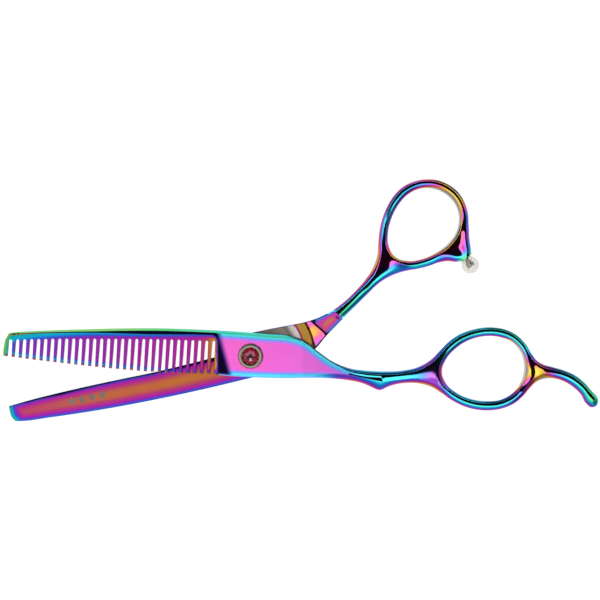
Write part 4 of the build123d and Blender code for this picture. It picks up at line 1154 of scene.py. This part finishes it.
def film_b(nor, v, c, fv):
    x, y = xyB[v].T
    xc, yc = c.T
    bend = 1 - nor[:, 2] ** 2
    r, rc = rB[v], np.hypot(xc, yc)
    pc = (c - NECK_LINE[0]) @ NL_N
    hand_side = lip_side(c)[0]
    dl, do, dt = dLip[v], dOut[v], dTipB[v]
    de = np.minimum(np.minimum(dEdge[v], dBack[v]), np.where(x < 0, do, 9))
    mid = np.interp(x, [-70, -60, -40, -10], [.31, .275, .225, .205])
    under = nor[:, 2] < -.3
    de = np.where(under, np.minimum(de, do), de)
    blade = np.interp(de, [0, .3, .65, 1.1, 1.8, 2.6, 3.4, 4.2], [.61, .57, .49, .41, .33, .26, .215, .195])
    blade = np.maximum(blade, mid)
    blade = np.maximum(blade, np.interp(dt, [0, .35, .9, 1.5, 2.4, 5.0], [.86, .78, .64, .51, .40, .0]))
    neck = (xc > 8) & ~hand_side & ~under
    bare = (rc < 15.32) & (xc > -9) & (yc > -2) & ~under
    band = neck & (rc >= 15.32) & (rc < 18.11)
    mill = neck & (((rc >= 18.11) & (rc < 18.78) & (pc < 0)) | ((pc > 0) & (pc < MILL)))
    f1 = neck & (rc >= 18.78) & (pc <= 0)
    f2 = neck & (pc >= MILL)
    base = np.where(band, np.interp(r, [15.32, 15.55, 15.8, 16.15, 17.2, 18.1], [.52, .34, .26, .12, .09, .12]), blade)
    base = np.where(f1, spread(xyB[v], F1), base)
    base = np.where(f2, np.maximum(spread(xyB[v], F2), np.interp(do, [0, .35, .8, 1.4], [.64, .60, .48, 0])), base)
    hand = spread(xyB[v], FILM_B)
    base = np.where(hand_side, hand, base)
    base = np.where(under & (xc > 0), mix(blade, hand, step(r, 13, 26)), base)
    K = 0.50 - 0.28 * np.clip(nor[:, 0], 0, 1)
    film = base - np.where(hand_side, K * bend, 0.06 * bend)
    film = np.where(bare, np.where(do < .24, .58, 0.0), film)
    silver = step(-np.hypot(x - 58.5, y - 38.5), -13.5, -9.0) * step(-dHB[v], -.55, -.24) * hand_side * step(x + 0.45 * y, 67, 72)
    film = mix(film, 0.0, silver)
    film = np.where(mill, .2, film)
    collar = (1 - step(dBoss[v], .35, .85)) * hand_side          # the colour runs to green at the boss's end
    film = mix(film, .85, collar)
    # painted highlight and shade: how far each corner is mixed from the lit to the shaded copy of the film colours
    lit_to_shaded = np.where(hand_side, handle_side_shade(nor, bend) * (1 - .7 * collar), 1.0)
    lit_to_shaded = np.where(under & (xc > 0), mix(1.0, handle_side_shade(nor, bend), step(r, 13, 26)), lit_to_shaded)
    # painted highlight: the bare steel takes the lit copy of its colour towards the rim
    lit_to_shaded = np.where(bare, np.where(do < .24, 1.0, np.interp(r, [12.6, 14.4], [1, 0])), lit_to_shaded)
    lit_to_shaded = np.where(f1, 0.0, lit_to_shaded)
    lit_to_shaded = np.where(f2, 0.75, lit_to_shaded) * (1 - silver)
    # painted highlight: a pale cyan line along the neck's arc edge, in the lit copy of the colours
    lip = hand_side & (dl < 0.5) & (x < 27.5) & (x > 21) & ~under
    film = np.where(lip, mix(.69, film, step(dl, .25, .5)), film)
    lit_to_shaded = np.where(lip, 0.0, lit_to_shaded)
    shade = np.ones(len(x))
    # painted shade darkens the milled step; the lighter ticks across it are milling marks
    tick = (np.sin(np.where(pc > 0, x * 0.75 + y * -0.66, np.arctan2(y, x) * 18.4) * TAU / 0.62) > 0.35)
    shade = np.where(mill, np.where(tick, 0.40, 0.02), shade)
    # painted reflections: two dark spots on the upper facet of the neck
    (bx, by), (cx, cy) = at([(337.5, 317.6), (314.3, 321.0)])
    spot = np.exp(-(((x - bx) * .75 + (y - by) * .66) ** 2 / .10 + ((x - bx) * .66 - (y - by) * .75) ** 2 / .35))
    shade = np.where(f2, shade * (1 - 0.95 * np.clip(spot * 1.3, 0, 1)), shade)
    spot = np.exp(-((x - cx) ** 2 + (y - cy) ** 2) / .25)
    shade = np.where(f2, shade * (1 - 0.97 * np.clip(spot * 1.4, 0, 1)), shade)
    # painted highlight and shade on the bare steel round the pivot: darker inside, brightest in a band at the rim
    steel = np.interp(r, [5, 9.5, 11.8, 13.0, 13.9, 15.25], [.42, .55, .85, .50, 1.25, 1.45])
    shade = np.where(bare, steel, shade)
    # painted shade: a dark band along the cutting edge, its width changing along the blade
    width = np.interp(x, [-70, -64, -55, -47, -38, -30, -20, -9.5], [.15, .55, .85, .70, .40, .42, .80, 1.2])
    shade = np.where(x < -8.4, shade * (1 - 0.93 * step(-dEdge[v], -width, -width + .22)), shade)
    wall = (np.abs(nor[:, 2]) < .3) & ~hand_side & (xc > -8)
    film, lit_to_shaded, shade = np.where(wall, .60, film), np.where(wall, 1.0, lit_to_shaded), np.where(wall, 1.0, shade)
    # painted shade: a dark line along the neck's lower right edge
    low = (x > 14) & (x < 22.5) & (y < 9.0) & ~hand_side & (do < .30) & ~under
    shade = np.where(low, .06, shade)
    # painted shade on the top right of the thumb ring's outer side
    shade = np.where(hand_side, shade * (1 - .85 * step(x, 51, 54) * step(y, 42, 46) * step(bend, .25, .5) * (nor[:, 1] > 0)), shade)
    rough = np.where(hand_side, 0.085, 0.27)
    rough = mix(rough, 0.3, silver)
    ground = np.where(hand_side, 0.0, np.where(f2 | band | bare, 1.0, 0.5))
    return dict(film=np.clip(film, 0.0, 1.0), lit_to_shaded=np.clip(lit_to_shaded, 0, 1), shade=shade, rough=rough, ground=ground)


def member(xy, tri, top, bottom, fields, fitted, split, names, body, mats, slots, sharp=26):
    """Builds one half, takes its normals and corner values, and parts it into its two pieces."""
    v, ft, fb, fw = shell(xy, tri, top, bottom)
    n = len(xy)
    faces = [tuple(f) for f in ft] + [tuple(f) for f in fb] + [tuple(f) for f in fw]
    me = mesh_of("whole", v, faces)
    me.shade_smooth()
    me.set_sharp_from_angle(angle=math.radians(sharp))
    nor, vi, co = corner_data(me)
    nt, ok_t, nb, ok_b = fitted()
    nt3 = nor[:3 * len(tri)].reshape(-1, 3, 3)
    nt3[ok_t] = nt[ok_t]
    nb3 = nor[3 * len(tri):6 * len(tri)].reshape(-1, 3, 3)
    nb3[ok_b] = nb[ok_b][:, ::-1]
    count = np.array([len(f) for f in faces])
    start = np.concatenate([[0], np.cumsum(count)[:-1]])
    cen = np.array([v[list(f), :2].mean(0) for f in faces])
    owner = np.repeat(np.arange(len(faces)), count)
    three = np.array([[i % n for i in f[:3]] for f in faces])
    vals = fields(nor, vi % n, cen[owner], three[owner])
    side = split(cen)
    bpy.data.meshes.remove(me)
    made = []
    for k, name in enumerate(names):
        sel = np.nonzero(side == k)[0]
        used = np.unique(np.concatenate([faces[i] for i in sel]))
        remap = -np.ones(len(v), int)
        remap[used] = np.arange(len(used))
        fs = [tuple(remap[list(faces[i])]) for i in sel]
        corners = np.concatenate([np.arange(start[i], start[i] + count[i]) for i in sel])
        made.append(piece(name, v[used], fs, body, mats[k], replaces=(slots[k][1],),
                          normals=nor[corners], fields={q: w[corners] for q, w in vals.items()}))
    return made


MAT_A = film_material("rainbow_film_finger", 0.0)
MAT_B = film_material("rainbow_film_thumb", 0.18)
member(xyA, triA, zA, botA, film_a, normals_a, lambda c: (c[:, 0] > WELD_A_X).astype(int),
       ("comb_blade_skin", "finger_handle_skin"), "finger_half", (MAT_A, MAT_A),
       (("comb_blade_tint", "comb_blade"), ("finger_handle_tint", "finger_handle")))
member(xyB, triB, zB, botB, film_b, normals_b,
       lambda c: ((c[:, 0] * math.cos(math.radians(43)) + c[:, 1] * math.sin(math.radians(43)) > WELD_B_D)
                  & (c[:, 0] > 10)).astype(int),
       ("plain_blade_skin", "thumb_handle_skin"), "thumb_half", (MAT_B, MAT_B),
       (("plain_blade_tint", "plain_blade"), ("thumb_handle_tint", "thumb_handle")))


# ---------------------------------------------------------------------------
# Stars on the plain blade, pivot head, stone, bumper and the carried-over parts
# ---------------------------------------------------------------------------
def metal(name, colour, rough, grain=900.0, vary=0.10, bump=0.10, stretch=None, dark=0.55):
    """Bare metal with cloudy wear, fine grain and uneven gloss."""
    m, t, b = tree(name)
    L = t.links
    cloud = noise(t, 160, 3.0)
    fine = noise(t, 1.0, 4.0, 0.6, stretch=stretch or (grain, grain, grain))
    lo_, hi_ = tuple(c * dark for c in colour), colour
    cr = ramp(t.nodes, [(0.25, lo_), (0.75, hi_)])
    mixed = math_node(t, "ADD", math_node(t, "MULTIPLY", cloud, 0.45), math_node(t, "MULTIPLY", fine, 0.55))
    L.new(mixed, cr.inputs[0])
    L.new(cr.outputs[0], b.inputs["Base Color"])
    b.inputs["Metallic"].default_value = 1.0
    L.new(math_node(t, "ADD", rough - vary / 2, math_node(t, "MULTIPLY", fine, vary)), b.inputs["Roughness"])
    bp = t.nodes.new("ShaderNodeBump")
    bp.inputs["Strength"].default_value = bump
    bp.inputs["Distance"].default_value = 0.00002
    L.new(fine, bp.inputs["Height"])
    L.new(bp.outputs[0], b.inputs["Normal"])
    return m


def turned(name, profile, body, material, replaces, n=96, sharp=32):
    """A closed body of revolution about the pivot axis; profile is (radius, height) pairs."""
    rings, verts, faces = [], [], []
    for r, z in profile:
        if r < 1e-6:
            rings.append([len(verts)])
            verts.append((0, 0, z))
        else:
            rings.append(list(range(len(verts), len(verts) + n)))
            verts += [(r * math.cos(TAU * i / n), r * math.sin(TAU * i / n), z) for i in range(n)]
    closed = profile[0][0] > 1e-6
    pairs = list(zip(rings, rings[1:] + rings[:1])) if closed else list(zip(rings, rings[1:]))
    for p, q in pairs:
        if len(p) == 1 and len(q) == 1:
            continue
        for i in range(n):
            j = (i + 1) % n
            if len(p) == 1:
                faces.append((p[0], q[i], q[j]))
            elif len(q) == 1:
                faces.append((p[i], q[0], p[j]))
            else:
                faces.append((p[i], q[i], q[j], p[j]))
    return piece(name, verts, [f[::-1] for f in faces], body, material, replaces=replaces, sharp=sharp)


def star_marks():
    """Four small plain stars etched in a row on the plain blade."""
    verts, faces = [], []
    for k, (px, py) in enumerate([(71.3, 401.5), (81.2, 399.7), (91.6, 397.3), (102.0, 395.1)]):
        (cx, cy), = at([(px, py)])
        base = len(verts)
        verts.append((cx, cy, Z_B1 + 0.014))
        for i in range(10):
            a = math.radians(102) + i * TAU / 10
            r = 1.42 if i % 2 == 0 else 0.62
            verts.append((cx + r * math.cos(a), cy + r * math.sin(a), Z_B1 + 0.014))
        for i in range(10):
            verts.append((verts[base + 1 + i][0], verts[base + 1 + i][1], Z_B1 - 0.03))
        for i in range(10):
            j = (i + 1) % 10
            faces.append((base, base + 1 + i, base + 1 + j))
            faces.append((base + 1 + i, base + 11 + i, base + 11 + j, base + 1 + j))
        faces.append(tuple(base + 20 - i for i in range(10)))
    m = metal("etched_grey", (172, 164, 152), 0.55, grain=2600, vary=0.2, dark=0.72)
    piece("etched_stars", verts, faces, "thumb_half", m, sharp=20)


star_marks()
# bezel: a domed ring with a fine dark line inside and out
Z0 = Z_SEAT + 0.02
bezel = [(2.46, Z_HEAD1 - 0.58), (2.46, 6.95), (2.50, 7.03), (2.58, 7.075), (2.76, 7.105), (2.98, 7.12), (3.20, 7.105),
         (3.36, 7.06), (3.47, 6.98), (3.54, 6.86), (3.59, 6.68), (3.60, 6.45), (3.60, Z0), (2.56, Z0),
         (2.56, Z_A0), (2.30, Z_A0), (2.30, Z_B0 + 0.27)]
bore = [(1.62, Z_B0 + 0.27), (1.62, 5.65), (0, 5.65)]
STEEL = metal("satin_steel", (176, 166, 150), 0.26, grain=1400, vary=0.12, dark=0.80)
head = [(0, Z_HEAD1 - 0.58)] + bezel + bore
turned("pivot_head", head, "finger_half", STEEL, ("pivot_stud",))


def stone():
    """A round stone: table, star, kite and girdle facets; each facet's colour paints the stone's red together with its
    reflections, a black centre and a white glint.
    """
    zt, verts, faces = Z_HEAD1 + 0.33, [], []

    def ring(n, r, z, turn=0.0):
        k = len(verts)
        verts.extend((r * math.cos(TAU * (i + turn) / n), r * math.sin(TAU * (i + turn) / n), z) for i in range(n))
        return list(range(k, k + n))

    core = ring(10, 0.60, zt + 0.012)
    verts.append((0.0, 0.0, zt + 0.014))
    hub = len(verts) - 1
    table = ring(10, 1.42, zt)
    star = ring(10, 1.80, zt - 0.13, 0.5)
    kite = ring(20, 2.16, zt - 0.27)
    gird = ring(20, 2.42, Z_HEAD1 - 0.05, 0.5)
    low = ring(20, 2.42, Z_HEAD1 - 0.17, 0.5)
    foot = ring(20, 1.90, Z_HEAD1 - 0.47, 0.5)
    red_and_reflection = []

    def add(f, t):
        faces.append(f)
        red_and_reflection.append(t)

    for i in range(10):
        j = (i + 1) % 10
        add((hub, core[i], core[j]), 0.02)
        a = math.degrees(TAU * (i + 0.5) / 10) % 360
        # painted reflections in the table: pink above, a white glint below, dark purple to the left, red to the right,
        # a black centre
        t = 0.64 if 10 < a < 170 else (0.30 if a > 300 or a < 10 else (0.98 if 250 < a < 290 else 0.12))
        add((core[i], table[i], table[j], core[j]), t)
        add((table[i], star[i], table[j]), 0.60 if i % 3 else 0.40)
        k0, k1, k2 = kite[(2 * i) % 20], kite[(2 * i + 1) % 20], kite[(2 * i + 2) % 20]
        h = star[(i - 1) % 10]
        add((table[i], h, k0), 0.34)
        add((table[i], k0, star[i]), 0.46)
        add((star[i], k0, k1), 0.10)
        add((star[i], k1, k2), 0.48)
    for i in range(20):
        j = (i + 1) % 20
        add((kite[i], gird[i], kite[j]), 0.50 if i % 2 else 0.06)
        add((kite[j], gird[i], gird[j]), 0.44 if i % 2 else 0.04)
        add((gird[i], low[i], low[j], gird[j]), 0.12)
        add((low[i], foot[i], foot[j], low[j]), 0.10)
    add(tuple(reversed(foot)), 0.1)
    m, t, b = tree("red_stone")
    L = t.links
    cr = ramp(t.nodes, [(0.0, (14, 3, 8)), (0.12, (58, 34, 62)), (0.20, (96, 10, 26)), (0.35, (150, 20, 40)),
                        (0.50, (214, 46, 66)), (0.64, (206, 110, 138)), (0.85, (240, 190, 205)), (1.0, (255, 240, 244))])
    cloud = noise(t, 2200, 2.0)
    L.new(math_node(t, "ADD", attr(t, "red_and_reflection"), math_node(t, "MULTIPLY", math_node(t, "SUBTRACT", cloud, 0.5), 0.16)), cr.inputs[0])
    L.new(cr.outputs[0], b.inputs["Base Color"])
    b.inputs["Roughness"].default_value = 0.04
    b.inputs["IOR"].default_value = 1.28
    faces2 = [f for f in faces if f]
    vals = np.concatenate([[t_] * len(f) for f, t_ in zip(faces2, red_and_reflection)])
    me_faces = faces2
    piece("faceted_stone", verts, me_faces, "finger_half", m, replaces=("pivot_gem",),
          sharp=1, fields={"red_and_reflection": vals})


stone()


def silicone_ball():
    """Clear bumper: a ball moulded over the stud's head, with its seat flat and a faint parting line."""
    c0 = np.array([(BOSS_P1[0] + BOSS_P2[0]) / 2, (BOSS_P1[1] + BOSS_P2[1]) / 2, 4.0])
    d = np.array([BOSS_P1[0] - BOSS_P2[0], BOSS_P1[1] - BOSS_P2[1], 0.0])
    d /= np.linalg.norm(d)
    ax = np.array([d[1], -d[0], 0.0])
    up = np.array([0, 0, 1.0])
    R, off, n = 2.50, 2.42, 48
    a0 = math.acos(-(off - 0.02) / R)
    prof = [(R * math.sin(a), off + R * math.cos(a)) for a in np.linspace(0, a0, 30)]
    prof = [(r * (1 + 0.006 * math.exp(-((h - off) / 0.06) ** 2)), h) for r, h in prof]
    prof += [(0.66, 0.02), (0.66, 1.53), (1.17, 1.56), (1.17, 2.9), (0.9, 3.06), (0.0, 3.06)]
    verts, faces, rings = [], [], []
    for r, h in prof:
        if r < 1e-6:
            rings.append([len(verts)])
            verts.append(tuple(c0 + ax * h))
        else:
            rings.append(list(range(len(verts), len(verts) + n)))
            verts += [tuple(c0 + ax * h + r * (math.cos(TAU * i / n) * d + math.sin(TAU * i / n) * up)) for i in range(n)]
    for p, q in zip(rings, rings[1:]):
        for i in range(n):
            j = (i + 1) % n
            if len(p) == 1:
                faces.append((p[0], q[i], q[j]))
            elif len(q) == 1:
                faces.append((p[i], q[0], p[j]))
            else:
                faces.append((p[i], q[i], q[j], p[j]))
    m, t, b = tree("clear_silicone")
    L = t.links
    cloud = noise(t, 700, 3.0)
    cr = ramp(t.nodes, [(0.35, (236, 234, 222)), (0.65, (250, 249, 242))])
    L.new(cloud, cr.inputs[0])
    L.new(cr.outputs[0], b.inputs["Base Color"])
    b.inputs["Transmission Weight"].default_value = 0.80
    b.inputs["IOR"].default_value = 1.33
    L.new(math_node(t, "ADD", 0.08, math_node(t, "MULTIPLY", cloud, 0.08)), b.inputs["Roughness"])
    bp = t.nodes.new("ShaderNodeBump")
    bp.inputs["Strength"].default_value = 0.08
    bp.inputs["Distance"].default_value = 0.00002
    L.new(cloud, bp.inputs["Height"])
    L.new(bp.outputs[0], b.inputs["Normal"])
    piece("silicone_ball", verts, faces, "thumb_half", m, replaces=("bumper",), sharp=40)


silicone_ball()


def dress(node, material):
    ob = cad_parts[node]
    ob.data.materials.clear()
    ob.data.materials.append(material)


dress("gem_foil", metal("mirror_foil", (225, 205, 208), 0.10, grain=3000, vary=0.06))
dress("pivot_bush", metal("bronze", (196, 140, 78), 0.32, grain=1500, vary=0.16, dark=0.7))
dress("flat_washer", metal("brass", (214, 178, 96), 0.26, grain=1600, vary=0.14, dark=0.75))
dress("spring_washer", metal("spring_steel", (150, 150, 152), 0.24, grain=1700, vary=0.12, dark=0.7))
dress("tension_screw", metal("screw_steel", (190, 184, 174), 0.24, grain=1500, vary=0.14, dark=0.75))
dress("bumper_stud", metal("stud_steel", (196, 192, 184), 0.18, grain=1500, vary=0.10, dark=0.72))
m_, t_, b_ = tree("white_ptfe")
g_ = noise(t_, 900, 3.0)
c_ = ramp(t_.nodes, [(0.3, (222, 220, 212)), (0.7, (240, 239, 234))])
t_.links.new(g_, c_.inputs[0])
t_.links.new(c_.outputs[0], b_.inputs["Base Color"])
t_.links.new(math_node(t_, "ADD", 0.38, math_node(t_, "MULTIPLY", g_, 0.16)), b_.inputs["Roughness"])
dress("glide_washer", m_)


# ---------------------------------------------------------------------------
# Floor, light and camera
# ---------------------------------------------------------------------------
def floor():
    n = 24
    R = 6000.0
    verts = [(mix(-R, R, i / n), mix(-R, R, j / n), -0.02) for j in range(n + 1) for i in range(n + 1)]
    faces = [(j * (n + 1) + i, j * (n + 1) + i + 1, (j + 1) * (n + 1) + i + 1, (j + 1) * (n + 1) + i)
             for j in range(n) for i in range(n)]
    me = mesh_of("studio_floor", verts, faces)
    ob = bpy.data.objects.new("studio_floor", me)
    bpy.context.scene.collection.objects.link(ob)
    m, t, b = tree("pale_floor")
    soft = noise(t, 3.0, 2.0)
    cr = ramp(t.nodes, [(0.3, (134, 134, 134)), (0.7, (140, 140, 140))])
    t.links.new(soft, cr.inputs[0])
    t.links.new(cr.outputs[0], b.inputs["Base Color"])
    b.inputs["Roughness"].default_value = 0.9
    b.inputs["Specular IOR Level"].default_value = 0.0
    b.inputs["Emission Color"].default_value = (1, 1, 1, 1)
    b.inputs["Emission Strength"].default_value = 0.95
    me.materials.append(m)


def studio():
    """A soft overhead light, a dark side of the room towards +Y with one light strip in it."""
    w = bpy.data.worlds.new("studio")
    bpy.context.scene.world = w
    w.use_nodes = True
    t = w.node_tree
    t.nodes.clear()
    out = t.nodes.new("ShaderNodeOutputWorld")
    bg = t.nodes.new("ShaderNodeBackground")
    t.links.new(bg.outputs[0], out.inputs[0])
    co = t.nodes.new("ShaderNodeTexCoord")
    sep = t.nodes.new("ShaderNodeSeparateXYZ")
    t.links.new(co.outputs["Generated"], sep.inputs[0])
    X, Y, Z = sep.outputs

    def ss(v, a, b):
        n = t.nodes.new("ShaderNodeMapRange")
        n.interpolation_type = "SMOOTHSTEP"
        n.inputs["To Min"].default_value, n.inputs["To Max"].default_value = 0, 1
        for key, q in (("From Min", a), ("From Max", b)):
            if isinstance(q, (int, float)):
                n.inputs[key].default_value = q
            else:
                t.links.new(q, n.inputs[key])
        t.links.new(v, n.inputs["Value"])
        return n.outputs[0]

    M = lambda op, a, b=None, clamp=False: math_node(t, op, a, b, clamp=clamp)
    inv = lambda a: M("SUBTRACT", 1.0, a)
    lerp = lambda a, b, f: M("ADD", M("MULTIPLY", a, inv(f)), M("MULTIPLY", b, f))
    deg = M("MULTIPLY", M("ARCCOSINE", M("MINIMUM", M("MAXIMUM", Z, -1.0), 1.0)), 180 / math.pi)   # from overhead
    flat = M("SQRT", M("MAXIMUM", M("SUBTRACT", 1.0, M("MULTIPLY", Z, Z)), 1e-6))
    cx, cy = M("DIVIDE", X, flat), M("DIVIDE", Y, flat)
    # how far from overhead the dark side of the room reaches, and where its light strip is, by azimuth
    turn = M("DIVIDE", M("ADD", M("MULTIPLY", M("ARCTAN2", Y, X), 180 / math.pi), 30.0), 240.0, clamp=True)

    def by_azimuth(stops):
        n = t.nodes.new("ShaderNodeValToRGB")
        cr = n.color_ramp
        cr.interpolation = "LINEAR"
        while len(cr.elements) > 1:
            cr.elements.remove(cr.elements[-1])
        for k, (az, v) in enumerate(stops):
            e = cr.elements[0] if k == 0 else cr.elements.new((az + 30) / 240)
            e.position = (az + 30) / 240
            e.color = (v / 100, v / 100, v / 100, 1)
        t.links.new(turn, n.inputs[0])
        return M("MULTIPLY", n.outputs[0], 100.0)

    end = by_azimuth([(-25, 24), (0, 40), (25, 66), (45, 100), (90, 116), (120, 110), (150, 86), (170, 44)])
    at_ = by_azimuth([(0, 52), (45, 66), (90, 70), (120, 66), (150, 54), (180, 34)])
    dark = M("MULTIPLY", inv(ss(deg, end, M("ADD", end, 4.0))), ss(M("ADD", Y, M("MULTIPLY", X, 0.40)), 0.02, 0.06))
    strip = M("MULTIPLY", ss(deg, M("SUBTRACT", at_, 3.2), M("SUBTRACT", at_, 2.0)),
              inv(ss(deg, M("ADD", at_, 2.0), M("ADD", at_, 3.2))))
    strip = M("MULTIPLY", strip, ss(cy, 0.25, 0.4))
    # towards +X the dark side turns dim
    dim = M("MULTIPLY", ss(cx, 0.45, 0.8), ss(deg, 56.0, 68.0))
    dark = M("MULTIPLY", dark, inv(M("MULTIPLY", dim, 0.16)))
    dome = lerp(1.6, 1.0, ss(deg, 14.0, 55.0))
    light = lerp(dome, 0.010, dark)
    light = M("ADD", light, M("MULTIPLY", strip, 3.8))
    flag = M("MULTIPLY", M("MULTIPLY", ss(cx, 0.35, 0.7), inv(ss(cy, 0.1, 0.3))), ss(deg, 22.0, 34.0))
    light = M("MULTIPLY", light, inv(M("MULTIPLY", flag, 0.72)))
    path = t.nodes.new("ShaderNodeLightPath")
    light = lerp(light, 0.93, path.outputs["Is Camera Ray"])
    t.links.new(light, bg.inputs["Strength"])


def camera():
    cam = bpy.data.cameras.new("camera")
    ob = bpy.data.objects.new("camera", cam)
    bpy.context.scene.collection.objects.link(ob)
    width, dist = 600 * PX * MM, 0.45
    cam.sensor_width = 36.0
    cam.lens = cam.sensor_width * dist / width
    ob.location = ((300 - 250.8) * PX * MM, -(300 - 355.8) * PX * MM, 0.0048 + dist)
    cam.clip_start, cam.clip_end = 0.01, 50
    bpy.context.scene.camera = ob


floor()
studio()
camera()
bpy.context.scene.view_settings.view_transform = "Standard"
